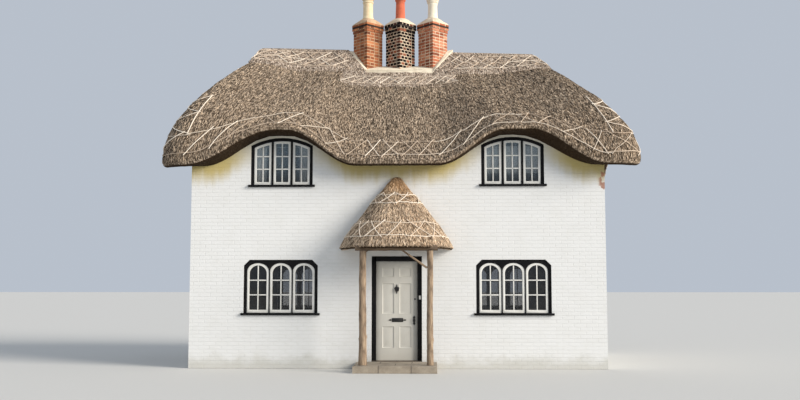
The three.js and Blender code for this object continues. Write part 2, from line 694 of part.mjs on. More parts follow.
// One butt hinge: its knuckle against the jamb's inner corner, and the flap that is screwed to the leaf.
function hinge(z) {
  const corner = [-DOOR.width / 2 - DOOR.play, -WALL.halfDepth + DOOR_FRAME.setBack + DOOR_FRAME.depth];
  const radius = Math.hypot(corner[0] - hingeAxis[0], corner[1] - hingeAxis[1]) - GAP;
  const knuckle = pole([...hingeAxis, z], [...hingeAxis, z + HINGE.height], radius, radius, HINGE.sides);
  const flap = box(
    [hingeAxis[0], leafBack - 1, z],
    [hingeAxis[0] + HINGE.flap, leafBack + HINGE.flapThickness, z + HINGE.height],
  );
  const webSide = hingeAxis[0] + HINGE.flapThickness;
  const web = box([hingeAxis[0], leafBack, z], [webSide, hingeAxis[1], z + HINGE.height]);
  return knuckle.add(flap).add(web);
}

// The six-panelled leaf on its hinges, with its panels sunk on both faces.
function doorLeaf() {
  const half = DOOR.width / 2;
  let leaf = box([-half, leafFront, leafBottom], [half, leafBack, leafBottom + DOOR.height]);
  for (const z of HINGE_HEIGHTS) leaf = leaf.add(hinge(leafBottom + z));
  const [near, far] = [PANEL.muntin / 2, half - PANEL.stile];
  for (let row = 0; row < PANEL.railZ.length; row += 2) {
    const [low, high] = [leafBottom + PANEL.railZ[row], leafBottom + PANEL.railZ[row + 1]];
    for (const [left, right] of [[-far, -near], [near, far]]) {
      leaf = leaf.subtract(box([left, leafFront - 1, low], [right, leafFront + PANEL.depth, high]));
      leaf = leaf.subtract(box([left, leafBack - PANEL.depth, low], [right, leafBack + 1, high]));
    }
  }
  return leaf;
}

// The cast knocker: a back plate like an urn between two small drops, with a ring hung in front of it.
function knocker() {
  const z = leafBottom + KNOCKER.height;
  const left = KNOCKER.side.map(([x, up]) => [-x, up]).reverse();
  const corners = [[0, KNOCKER.top], ...KNOCKER.side, [0, -KNOCKER.top], ...left];
  const ring = new THREE.TorusGeometry(KNOCKER_RING.radius, KNOCKER_RING.wire, 8, 18);
  ring.rotateX(Math.PI / 2);
  ring.translate(0, leafFront - KNOCKER_RING.out, z + KNOCKER_RING.up);
  const outline = polygon(corners.map(([x, up]) => [x, z + up]));
  return slab(outline, leafFront - KNOCKER.thickness, leafFront - GAP).add(solidOf(ring));
}

// The whole outline from its upper right quarter, which runs from the top or the side to the other.
function fourfold(quarter) {
  const right = [...quarter, ...quarter.map(([x, up]) => [x, -up]).reverse()];
  const left = right.map(([x, up]) => [-x, up]).reverse();
  return [...right, ...left];
}

// The letter plate, with a pointed end at each side and its flap in the middle.
function letterPlate() {
  const { x, height, quarter, thickness, flap } = LETTER_PLATE;
  const z = leafBottom + height;
  const plate = polygon(fourfold(quarter).map(([along, up]) => [x + along, z + up]));
  const low = [x - flap.halfWidth, leafFront - flap.out, z - flap.halfHeight];
  const high = [x + flap.halfWidth, leafFront - GAP, z + flap.halfHeight];
  return slab(plate, leafFront - thickness, leafFront - GAP).add(box(low, high));
}

// The pull: a shaped plate with a grip standing off it on two short arms.
function doorPull() {
  const { x, height, quarter, thickness, grip } = DOOR_PULL;
  const z = leafBottom + height;
  const plate = polygon(fourfold(quarter).map(([across, up]) => [x + across, z + up]));
  const out = leafFront - grip.out;
  const bar = (from, to) => pole(from, to, grip.radius, grip.radius, grip.sides);
  const [low, high] = [z - grip.halfHeight, z + grip.halfHeight];
  let pull = slab(plate, leafFront - thickness, leafFront - GAP).add(bar([x, out, low], [x, out, high]));
  for (const end of [low + grip.radius, high - grip.radius]) {
    pull = pull.add(bar([x, out, end], [x, leafFront - thickness / 2, end]));
  }
  return pull;
}

// The house

const cottage = new THREE.Group();
const paints = {};

// One named piece, in its own material.
function add(name, solid, colour, roughness = 0.9, metalness = 0) {
  const key = [colour, roughness, metalness].join();
  paints[key] ??= new THREE.MeshStandardMaterial({ color: COLOURS[colour], roughness, metalness });
  const mesh = new THREE.Mesh(geometryOf(solid), paints[key]);
  mesh.name = name;
  cottage.add(mesh);
  return mesh;
}

const inside = { x: WALL.halfWidth - WALL.thickness, y: WALL.halfDepth - WALL.thickness };
add("front_wall_left", wallBlank("front", -WALL.halfWidth, -doorHalf, 0), "limewash");
add("front_wall_right", wallBlank("front", doorHalf, WALL.halfWidth, 0), "limewash");
add("front_wall_over_door", wallBlank("front", -doorHalf, doorHalf, doorwayTop), "limewash");
add("back_wall", wallBlank("back", -WALL.halfWidth, WALL.halfWidth, 0), "limewash");
add("left_wall", wallBlank("left", -inside.y, inside.y, 0), "limewash");
add("right_wall", wallBlank("right", -inside.y, inside.y, 0), "limewash");

const breast = chimneyBreast();
const ground = box([-inside.x, -inside.y, 0], [inside.x, inside.y, FLOOR.groundTop]);
const upper = box([-inside.x, -inside.y, FLOOR.upperBottom], [inside.x, inside.y, FLOOR.upperTop]);
const threshold = box([-doorHalf, -WALL.halfDepth, 0], [doorHalf, -inside.y, FLOOR.groundTop]);
add("ground_floor", ground.subtract(breast).add(threshold), "stone");
add("upper_floor", upper.subtract(breast), "boards");

for (const side of ["front", "back", "left", "right"]) add("thatch_" + side, slope(side), "thatch", 1);
for (const hand of ["left", "right"]) add("ridge_" + hand, saddle(hand), "thatch", 1);

add("chimney_breast", breast, "brick");
stackNames.forEach((name, i) => {
  const x = (i - 1) * STACK.spacing;
  add("stack_" + name, stack(x), "brick");
  add("pot_" + name, pot(name, x), { left: "clayBuff", middle: "clayRed", right: "clayCream" }[name], 0.8);
});
add("chimney_apron", apron(), "mortar");

for (const { side, kind, hand, x } of windows) {
  const where = [side, kind, hand].filter(Boolean).join("_");
  add("window_" + where, onWall(windowJoinery(kind), side, x), "blackPaint", 0.4);
}
for (const { side, kind, hand, x } of windows) {
  const where = [side, kind, hand].filter(Boolean).join("_");
  add("glass_" + where, onWall(windowGlass(kind), side, x), "glass", 0.05);
}

const rightPost = porchPost(PORCH.rightX, PORCH.postY, [66, 60, 62, 57, 58, 56, 60]);
const step = box([-STEP.halfWidth, STEP.front, 0], [STEP.halfWidth, -WALL.halfDepth, STEP.top]);
add("porch_step", step, "stone");
add("porch_post_left", porchPost(PORCH.leftX, PORCH.postY, [84, 76, 68, 74, 64, 70, 66, 68]), "log");
add("porch_post_right", rightPost, "log");
add("porch_beam", porchBeam(0), "darkLog");
add("porch_brace", porchBrace(rightPost), "log");
add("porch_thatch", porchThatch(), "newThatch", 1);

add("door_frame", doorFrame(), "blackPaint", 0.4);
add("door_leaf", doorLeaf(), "doorPaint", 0.5);
add("door_knocker", knocker(), "iron", 0.5, 0.6);
add("letter_plate", letterPlate(), "iron", 0.5, 0.6);
add("door_pull", doorPull(), "iron", 0.5, 0.6);

export default cottage;
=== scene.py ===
"""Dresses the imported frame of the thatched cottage: straw, painted brick, joinery, stacks and porch."""

import logging
import math
from collections.abc import Callable, Sequence
from dataclasses import dataclass, field
from enum import Enum

import bpy
import numpy as np
from mathutils import Matrix, Vector


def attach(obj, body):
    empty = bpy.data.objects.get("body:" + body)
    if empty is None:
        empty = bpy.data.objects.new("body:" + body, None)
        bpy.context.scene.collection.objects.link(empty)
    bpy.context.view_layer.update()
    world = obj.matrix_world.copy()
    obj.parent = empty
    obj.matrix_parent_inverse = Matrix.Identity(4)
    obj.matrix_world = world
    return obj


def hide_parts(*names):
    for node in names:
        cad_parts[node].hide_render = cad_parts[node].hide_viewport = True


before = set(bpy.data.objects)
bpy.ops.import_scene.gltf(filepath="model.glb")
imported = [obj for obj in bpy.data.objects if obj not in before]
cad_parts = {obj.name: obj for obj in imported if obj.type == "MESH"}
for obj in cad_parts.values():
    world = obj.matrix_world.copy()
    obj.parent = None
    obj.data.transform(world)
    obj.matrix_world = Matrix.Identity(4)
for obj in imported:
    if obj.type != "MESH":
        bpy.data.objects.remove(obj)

log = logging.getLogger("cottage")

Array = np.ndarray
Piece = bpy.types.Object
Material = bpy.types.Material
Point = Sequence[float]
Span = tuple[float, float]
Colour = tuple[float, float, float]


class Side(Enum):
    """The four sides of the house, each with the turn that brings the front to it, in degrees."""

    FRONT = 0
    RIGHT = 90
    BACK = 180
    LEFT = 270


class Storey(Enum):
    """The two kinds of window, by the storey that they light."""

    UPPER = "upper"
    LOWER = "lower"


class Bond(Enum):
    """How the bricks of a stack are laid."""

    STRETCHERS = "stretchers"
    HEADERS = "headers"


# Shaping


def points_at(x: Array | float, y: Array | float, z: Array | float) -> Array:
    """Places as [point, axis] from their three numbers, each one value or one a place."""
    return np.column_stack(np.broadcast_arrays(x, y, z))


def run_of(points: Array) -> Array:
    """How far along rows of points each of them lies, from 0 at the first."""
    steps = np.linalg.norm(np.diff(points, axis=0), axis=-1)
    return np.concatenate([np.zeros((1, *steps.shape[1:])), np.cumsum(steps, axis=0)])


class Bench:
    """Makes and shapes meshes with Blender's own tools."""

    @staticmethod
    def pick(*objects: Piece) -> None:
        """Selects only these objects, the last of them active.

        Args:
            objects: What the next operator acts on.
        """
        active = bpy.context.view_layer.objects.active
        if active and active.mode != "OBJECT":
            bpy.ops.object.mode_set(mode="OBJECT")
        bpy.ops.object.select_all(action="DESELECT")
        for obj in objects:
            obj.select_set(True)
        if objects:
            bpy.context.view_layer.objects.active = objects[-1]

    @classmethod
    def edit(cls, obj: Piece) -> None:
        """Opens an object in edit mode with all of it selected.

        Args:
            obj: What is shaped next.
        """
        cls.pick(obj)
        bpy.ops.object.mode_set(mode="EDIT")
        bpy.ops.mesh.select_all(action="SELECT")

    @staticmethod
    def leave() -> None:
        """Goes back to object mode."""
        bpy.ops.object.mode_set(mode="OBJECT")

    @classmethod
    def box(cls, name: str, low: Point, high: Point, bevel: float = 0.003) -> Piece:
        """Makes a box with its edges worn round.

        Args:
            name: The object's name.
            low: Its lowest corner.
            high: Its highest corner.
            bevel: How wide the worn edges are.

        Returns:
            The new object.
        """
        cls.pick()
        middle = [(a + b) / 2 for a, b in zip(low, high)]
        size = [b - a for a, b in zip(low, high)]
        bpy.ops.mesh.primitive_cube_add(size=1, location=middle, scale=size)
        obj = bpy.context.object
        obj.name = name
        bpy.ops.object.transform_apply(location=True, rotation=True, scale=True)
        if bevel:
            cls.bevel(obj, bevel)
        return obj

    @classmethod
    def prism(cls, name: str, outline: Sequence[Point], front: float, back: float) -> Piece:
        """Makes a solid from an outline in X and Z.

        Args:
            name: The object's name.
            outline: The corners in order, as x and z.
            front: The lower y.
            back: The higher y.

        Returns:
            The new object.
        """
        cls.pick()
        bpy.ops.mesh.primitive_circle_add(vertices=len(outline), radius=1, fill_type="NGON")
        obj = bpy.context.object
        obj.name = name
        flat = np.array([(x, front, z) for x, z in outline], np.float32)
        obj.data.vertices.foreach_set("co", flat.ravel())
        cls.edit(obj)
        move = {"value": (0, back - front, 0)}
        bpy.ops.mesh.extrude_region_move(TRANSFORM_OT_translate=move)
        bpy.ops.mesh.select_all(action="SELECT")
        bpy.ops.mesh.normals_make_consistent(inside=False)
        cls.leave()
        return obj

    @classmethod
    def grid(cls, name: str, points: Array, uv: Array | None = None) -> Piece:
        """Makes a skin from rows of points, and welds the edges that meet.

        Args:
            name: The object's name.
            points: Places as [row, column, axis].
            uv: The map's places as [row, column, 2], in metres.

        Returns:
            The new object.
        """
        rows, columns = points.shape[:2]
        cls.pick()
        bpy.ops.mesh.primitive_grid_add(x_subdivisions=columns - 1, y_subdivisions=rows - 1, size=1)
        obj = bpy.context.object
        obj.name = name
        mesh = obj.data
        mesh.vertices.foreach_set("co", np.ascontiguousarray(points, np.float32).ravel())
        if uv is not None:
            corners = np.empty(len(mesh.loops), np.int32)
            mesh.loops.foreach_get("vertex_index", corners)
            places = uv.reshape(-1, 2)[corners].astype(np.float32)
            mesh.uv_layers[0].data.foreach_set("uv", places.ravel())
        mesh.update()
        cls.edit(obj)
        bpy.ops.mesh.remove_doubles(threshold=1e-5)
        cls.leave()
        return obj

    @classmethod
    def close(cls, obj: Piece) -> None:
        """Fills the open ends of a skin.

        Args:
            obj: The skin.
        """
        cls.edit(obj)
        bpy.ops.mesh.fill_holes(sides=0)
        cls.leave()

    @classmethod
    def outwards(cls, obj: Piece) -> None:
        """Turns every face of a closed mesh outwards.

        Args:
            obj: The mesh.
        """
        cls.edit(obj)
        bpy.ops.mesh.normals_make_consistent(inside=False)
        cls.leave()

    @classmethod
    def turned(
        cls, name: str, profile: Sequence[Point], centre: Point, steps: int, ovality: float = 0.0
    ) -> Piece:
        """Makes a closed turned form.

        Args:
            name: The object's name.
            profile: Radius and height from the bottom of the outside, closed on itself or on the axis.
            centre: The axis, as x and y.
            steps: How many faces go round.
            ovality: How far the form is out of round, as a share of its radius.

        Returns:
            The new object.
        """
        drift = 7
        angle = np.linspace(0, 2 * math.pi, steps + 1)
        rows = []
        for radius, z in profile:
            reach = radius * (1 + ovality * np.sin(2 * angle + drift * z))
            rows.append(points_at(centre[0] + reach * np.cos(angle), centre[1] + reach * np.sin(angle), z))
        points = np.array(rows)
        heights = np.cumsum([0.0, *[math.dist(a, b) for a, b in zip(profile, profile[1:])]])
        widest = max(radius for radius, _ in profile)
        uv = np.stack(np.meshgrid(angle * widest, heights), 2)
        obj = cls.grid(name, points, uv)
        cls.outwards(obj)
        return obj

    @classmethod
    def modify(cls, obj: Piece, kind: str, **settings: object) -> None:
        """Adds a modifier and applies it.

        Args:
            obj: The object.
            kind: The modifier's type.
            settings: Its settings.
        """
        cls.pick(obj)
        modifier = obj.modifiers.new(kind.title(), kind)
        for key, value in settings.items():
            setattr(modifier, key, value)
        bpy.ops.object.modifier_apply(modifier=modifier.name)

    @classmethod
    def bevel(cls, obj: Piece, width: float, segments: int = 2) -> None:
        """Rounds an object's sharp edges.

        Args:
            obj: The object.
            width: How wide the rounding is.
            segments: How many faces it takes.
        """
        sharp = math.radians(35)
        cls.modify(obj, "BEVEL", width=width, segments=segments, limit_method="ANGLE", angle_limit=sharp)

    @classmethod
    def cut(cls, obj: Piece, *tools: Piece, operation: str = "DIFFERENCE") -> Piece:
        """Cuts tools out of an object, or adds them to it, and uses the tools up.

        Args:
            obj: What is cut.
            tools: What it is cut with.
            operation: DIFFERENCE, UNION or INTERSECT.

        Returns:
            The same object.
        """
        for tool in tools:
            cls.modify(obj, "BOOLEAN", object=tool, operation=operation, solver="EXACT")
            bpy.data.objects.remove(tool)
        return obj

    @classmethod
    def join(cls, name: str, parts: Sequence[Piece]) -> Piece:
        """Joins objects into one.

        Args:
            name: The joined object's name.
            parts: What is joined.

        Returns:
            The joined object.
        """
        cls.pick(*parts)
        if len(parts) > 1:
            bpy.ops.object.join()
        joined = bpy.context.view_layer.objects.active
        joined.name = name
        return joined

    @classmethod
    def smooth(cls, obj: Piece, degrees: float = 32) -> None:
        """Shades an object smooth up to an angle."""
        cls.pick(obj)
        bpy.ops.object.shade_smooth_by_angle(angle=math.radians(degrees))

    @staticmethod
    def copy(obj: Piece, name: str, place: Matrix) -> Piece:
        """Copies an object with a mesh of its own, moved to its place.

        Args:
            obj: What is copied.
            name: The copy's name.
            place: Where it goes.

        Returns:
            The copy.
        """
        twin = obj.copy()
        twin.data = obj.data.copy()
        twin.name = name
        bpy.context.scene.collection.objects.link(twin)
        twin.data.transform(place)
        return twin


@dataclass
class Batch:
    """Many small shapes joined into one mesh, each with a shade of its own from 0 to 1."""

    points: list[Array] = field(default_factory=list)
    faces: list[Array] = field(default_factory=list)
    shades: list[Array] = field(default_factory=list)
    count: int = 0

    def add(self, points: Array, faces: Array, shade: float | Array) -> None:
        """Adds a shape, or many shapes already numbered together.

        Args:
            points: Places as [vertex, axis].
            faces: Vertex numbers as [face, corner], every face with as many corners.
            shade: One shade, or one a vertex.
        """
        self.points.append(points)
        self.faces.append(np.asarray(faces) + self.count)
        self.shades.append(np.broadcast_to(np.asarray(shade, np.float32), (len(points),)))
        self.count += len(points)

    def build(self, name: str) -> Piece:
        """Makes the mesh.

        Args:
            name: The object's name.

        Returns:
            The new object.
        """
        mesh = bpy.data.meshes.new(name)
        faces = [face for block in self.faces for face in block.tolist()]
        mesh.from_pydata(np.concatenate(self.points).tolist(), [], faces)
        attribute = mesh.attributes.new("shade", "FLOAT", "POINT")
        attribute.data.foreach_set("value", np.concatenate(self.shades).astype(np.float32))
        obj = bpy.data.objects.new(name, mesh)
        bpy.context.scene.collection.objects.link(obj)
        return obj

    def rod(self, path: Array, radius: float, shade: float, sides: int = 6) -> None:
        """Adds a closed rod that follows a path.

        Args:
            path: Places as [point, axis].
            radius: Its radius.
            shade: Its shade.
            sides: How many faces go round.
        """
        along = np.gradient(path, axis=0)
        along /= np.linalg.norm(along, axis=1, keepdims=True)
        across = np.cross(along, (0.0, 0.0, 1.0))
        across[np.linalg.norm(across, axis=1) < 1e-3] = (1.0, 0.0, 0.0)
        across /= np.linalg.norm(across, axis=1, keepdims=True)
        upward = np.cross(across, along)
        angle = np.linspace(0, 2 * math.pi, sides, endpoint=False)
        ring = across[:, None] * np.cos(angle)[None, :, None] + upward[:, None] * np.sin(angle)[None, :, None]
        skin = (path[:, None] + radius * ring).reshape(-1, 3)
        number = np.arange(len(path) * sides).reshape(len(path), sides)
        right = np.roll(number, -1, axis=1)
        quads = np.stack([number[:-1], right[:-1], right[1:], number[1:]], 2).reshape(-1, 4)
        tris = [[number[0, 0], number[0, i + 1], number[0, i]] for i in range(1, sides - 1)]
        tris += [[number[-1, 0], number[-1, i], number[-1, i + 1]] for i in range(1, sides - 1)]
        self.add(skin, quads, shade)
        self.faces.append(np.array(tris) + self.count - len(skin))


class Wander:
    """Smooth random values over space, the same on every run."""

    primes = (73856093, 19349663, 83492791)
    seed_prime = 2654435761
    mixers = ((13, 1274126177), (16, 2246822519))

    @classmethod
    def hashed(cls, cell: Array, seed: int) -> Array:
        """Gives each whole-numbered cell a value from -1 to 1.

        Args:
            cell: Whole numbers as [..., axis].
            seed: Which set of values.

        Returns:
            The values.
        """
        number = np.bitwise_xor.reduce(cell * cls.primes, axis=-1) ^ (seed * cls.seed_prime)
        for shift, factor in cls.mixers:
            number = (number ^ (number >> shift)) * factor & 0xFFFFFFFF
        return ((number ^ (number >> 15)) & 0xFFFF) / 32767.5 - 1

    @classmethod
    def value(cls, places: Array, size: float | Sequence[float], seed: int = 0) -> Array:
        """Blends the cells' values smoothly.

        Args:
            places: Places as [..., axis].
            size: How big a cell is, along each axis or all.
            seed: Which set of values.

        Returns:
            Values from -1 to 1.
        """
        scaled = places / np.asarray(size, float)
        cell = np.floor(scaled).astype(np.int64)
        part = scaled - cell
        part = part * part * (3 - 2 * part)
        total = 0.0
        for corner in np.ndindex(2, 2, 2):
            weight = np.prod(np.where(np.array(corner) == 1, part, 1 - part), axis=-1)
            total = total + weight * cls.hashed(cell + np.array(corner), seed)
        return total


# Finishes


class Level:
    """A shader socket that takes part in sums."""

    def __init__(self, paint: "Paint", socket: bpy.types.NodeSocket) -> None:
        """Wraps a socket of a paint."""
        self.paint = paint
        self.socket = socket

    def _math(self, operation: str, first: "Level | float", second: "Level | float") -> "Level":
        """Makes a Math node."""
        return self.paint.node("ShaderNodeMath", {"operation": operation}, {0: first, 1: second})

    def __add__(self, other: "Level | float") -> "Level":
        """Adds."""
        return self._math("ADD", self, other)

    __radd__ = __add__

    def __sub__(self, other: "Level | float") -> "Level":
        """Takes away."""
        return self._math("SUBTRACT", self, other)

    def __rsub__(self, other: "Level | float") -> "Level":
        """Is taken away from a number."""
        return self._math("SUBTRACT", other, self)

    def __mul__(self, other: "Level | float") -> "Level":
        """Multiplies."""
        return self._math("MULTIPLY", self, other)

    __rmul__ = __mul__

    def __truediv__(self, other: "Level | float") -> "Level":
        """Divides."""
        return self._math("DIVIDE", self, other)

    def __abs__(self) -> "Level":
        """Drops the sign."""
        return self._math("ABSOLUTE", self, 0.0)

    def at_least(self, other: "Level | float") -> "Level":
        """Keeps the larger of two."""
        return self._math("MAXIMUM", self, other)

    def cosine(self) -> "Level":
        """Takes the cosine."""
        return self._math("COSINE", self, 0.0)

    def step(self, start: float, end: float) -> "Level":
        """Goes smoothly from 0 at start to 1 at end.

        Args:
            start: Where it is 0.
            end: Where it is 1.

        Returns:
            The blended level.
        """
        settings = {"interpolation_type": "SMOOTHSTEP"}
        low, high, flip = (start, end, False) if start < end else (end, start, True)
        made = self.paint.node("ShaderNodeMapRange", settings, {0: self, 1: low, 2: high})
        return 1.0 - made if flip else made


class Paint:
    """One material's node tree, with one method that makes any node."""

    def __init__(self, name: str) -> None:
        """Starts an empty material with a principled shader.

        Args:
            name: The material's name.
        """
        self.material = bpy.data.materials.new(name)
        self.material.use_nodes = True
        self.tree = self.material.node_tree
        self.tree.nodes.clear()
        self.shader = self.tree.nodes.new("ShaderNodeBsdfPrincipled")
        output = self.tree.nodes.new("ShaderNodeOutputMaterial")
        self.tree.links.new(self.shader.outputs[0], output.inputs[0])

    def node(self, kind: str, settings: dict, inputs: dict, output: int | str = 0) -> Level:
        """Makes a node.

        Args:
            kind: The node's type.
            settings: What is set on the node before its sockets.
            inputs: Values or levels by the socket's name or number.
            output: Which output is returned.

        Returns:
            The output as a level.
        """
        made = self.tree.nodes.new(kind)
        for key, value in settings.items():
            if key == "stops":
                self._stops(made.color_ramp, value)
            else:
                setattr(made, key, value)
        for key, value in inputs.items():
            self._feed(made.inputs[key], value)
        return Level(self, made.outputs[output])

    @staticmethod
    def _stops(ramp: bpy.types.ColorRamp, stops: Sequence[tuple[float, Colour]]) -> None:
        """Sets a ramp's stops.

        Args:
            ramp: The ramp.
            stops: Each stop's place and colour.
        """
        while len(ramp.elements) < len(stops):
            ramp.elements.new(0.5)
        for element, (place, colour) in zip(ramp.elements, stops):
            element.position = place
            element.color = (*colour, 1)

    def _feed(self, socket: bpy.types.NodeSocket, value: object) -> None:
        """Links or sets one socket.

        Args:
            socket: The socket.
            value: A level that is linked to it, or its value.
        """
        if isinstance(value, Level):
            self.tree.links.new(value.socket, socket)
        elif isinstance(value, tuple) and len(value) == 3 and len(socket.default_value) == 4:
            socket.default_value = (*value, 1)
        else:
            socket.default_value = value

    def place(self) -> Level:
        """The place on the object, in metres."""
        return self.node("ShaderNodeTexCoord", {}, {}, "Object")

    def mapped(self) -> Level:
        """The place on the piece's own map, in metres."""
        return self.node("ShaderNodeUVMap", {"uv_map": "UVMap"}, {})

    def shade(self) -> Level:
        """Each small shape's own shade."""
        return self.node("ShaderNodeAttribute", {"attribute_name": "shade"}, {}, "Fac")

    def scaled(self, place: Level, by: Colour) -> Level:
        """Stretches a place by a factor along each axis."""
        return self.node("ShaderNodeVectorMath", {"operation": "MULTIPLY"}, {0: place, 1: by})

    def parts(self, place: Level) -> tuple[Level, Level, Level]:
        """Splits a place into its three numbers."""
        split = self.node("ShaderNodeSeparateXYZ", {}, {0: place})
        return tuple(Level(self, socket) for socket in split.socket.node.outputs)

    def joined(self, x: Level | float, y: Level | float, z: Level | float = 0.0) -> Level:
        """Makes a place from three numbers."""
        return self.node("ShaderNodeCombineXYZ", {}, {0: x, 1: y, 2: z})

    def noise(self, place: Level, scale: float | Colour, detail: float = 3, roughness: float = 0.55) -> Level:
        """Cloudy values round 0.5.

        Args:
            place: Where they are read.
            scale: How many clouds go to a metre, along all axes or each.
            detail: How many finer layers they have.
            roughness: How much the finer layers show.

        Returns:
            The values.
        """
        if isinstance(scale, tuple):
            place, scale = self.scaled(place, scale), 1.0
        sizes = {"Vector": place, "Scale": scale, "Detail": detail, "Roughness": roughness}
        return self.node("ShaderNodeTexNoise", {}, sizes)

    def cells(self, place: Level, scale: Colour) -> Level:
        """Distances from scattered points, as many to a metre along each axis."""
        sizes = {"Vector": self.scaled(place, scale), "Scale": 1.0}
        return self.node("ShaderNodeTexVoronoi", {}, sizes, "Distance")

    def joints(self, x: Level, y: Level, size: Span, width: float, soft: float = 0.1) -> Level:
        """The joints between laid bricks, slabs or boards.

        Args:
            x: The place along the courses.
            y: The place across them.
            size: How long and how high a brick is with its joint.
            width: How wide the joints are.
            soft: How soft their edges are.

        Returns:
            1 in a joint and 0 on a brick.
        """
        sizes = {"Vector": self.joined(x, y), "Scale": 1.0, "Mortar Size": width, "Mortar Smooth": soft}
        sizes |= {"Brick Width": size[0], "Row Height": size[1]}
        return self.node("ShaderNodeTexBrick", {}, sizes, "Fac")

    def ramp(self, level: Level, *stops: tuple[float, Colour]) -> Level:
        """Turns a level into a colour."""
        return self.node("ShaderNodeValToRGB", {"stops": stops}, {0: level})

    def mix(
        self, share: Level | float, first: Level | Colour, second: Level | Colour, way: str = "MIX"
    ) -> Level:
        """Blends two colours.

        Args:
            share: How much of the second.
            first: A colour.
            second: Another.
            way: How they blend.

        Returns:
            The blended colour.
        """
        settings = {"data_type": "RGBA", "blend_type": way}
        return self.node("ShaderNodeMix", settings, {0: share, 6: first, 7: second}, 2)

    def bump(self, height: Level, depth: float) -> Level:
        """A normal from a height, where a height of 1 stands for the depth in metres."""
        sizes = {"Height": height, "Distance": depth, "Strength": 1.0}
        return self.node("ShaderNodeBump", {}, sizes, "Normal")

    def finish(self, **sockets: object) -> Material:
        """Sets the shader's sockets.

        Args:
            sockets: Values or levels by the socket's name, written with underscores.

        Returns:
            The material.
        """
        for key, value in sockets.items():
            self._feed(self.shader.inputs[key.replace("_", " ")], value)
        return self.material


@dataclass(frozen=True)
class Straw:
    """Weathered straw laid in bundles down a slope, lighter and darker in flecks.

    The colour called far tints its left end, and fades out over the house's length. Its underside is shaded up
    to edge on its map, and it is newer from the height golden on.
    """

    name: str
    dark: Colour
    middle: Colour
    light: Colour
    far: Colour
    edge: float = -9.0
    golden: float = 90.0
    length: float = 9.6
    new: Colour = (0.5, 0.27, 0.1)
    streak: Colour = (0.1, 0.085, 0.07)
    shaded: Colour = (0.026, 0.013, 0.004)

    def on_slope(self) -> Material:
        """Makes the finish for a skin whose map runs along the eave and up the slope.

        Returns:
            The material.
        """
        paint = Paint(self.name)
        place, mapped = paint.place(), paint.mapped()
        reeds = paint.noise(mapped, (62.0, 15.0, 1.0), 3, 0.7)
        bundles = paint.noise(mapped, (26.0, 9.0, 1.0), 2, 0.6)
        ends = paint.cells(mapped, (48.0, 21.0, 1.0))
        patches = paint.noise(place, 0.9, 3)
        fleck = reeds * 0.5 + bundles * 0.3 + ends * 0.25
        straw = paint.ramp(fleck, (0.4, self.dark), (0.52, self.middle), (0.64, self.light))
        x, _, z = paint.parts(place)
        newer = (z + patches * 0.2).step(self.golden, self.golden + 0.35)
        straw = paint.mix(newer * 0.6, straw, self.new)
        greyness = (patches * 0.8 - x / self.length).step(-0.1, 1.3)
        colour = paint.mix(greyness, straw, paint.mix(0.6, straw, self.far, "MULTIPLY"))
        streaks = paint.noise(mapped, (3.0, 0.5, 1.0), 3)
        colour = paint.mix(streaks.step(0.35, 0.75) * 0.28, colour, self.streak)
        _, up, _ = paint.parts(mapped)
        under = up.step(self.edge + 0.02, self.edge - 0.02)
        colour = paint.mix(under * 0.97, colour, self.shaded)
        relief = paint.bump(reeds * 0.45 + bundles * 0.35 + ends * 0.4, 0.035)
        return paint.finish(Base_Color=colour, Roughness=0.95, Specular_IOR_Level=0.2, Normal=relief)

    def loose(self) -> Material:
        """Makes the finish for single straws, each with its shade.

        Returns:
            The material.
        """
        paint = Paint(self.name + "_loose")
        colour = paint.ramp(paint.shade(), (0.0, self.dark), (0.5, self.middle), (1.0, self.light))
        _, _, z = paint.parts(paint.place())
        colour = paint.mix(z.step(self.golden + 0.1, self.golden + 0.4) * 0.5, colour, self.new)
        return paint.finish(Base_Color=colour, Roughness=0.9, Specular_IOR_Level=0.2)


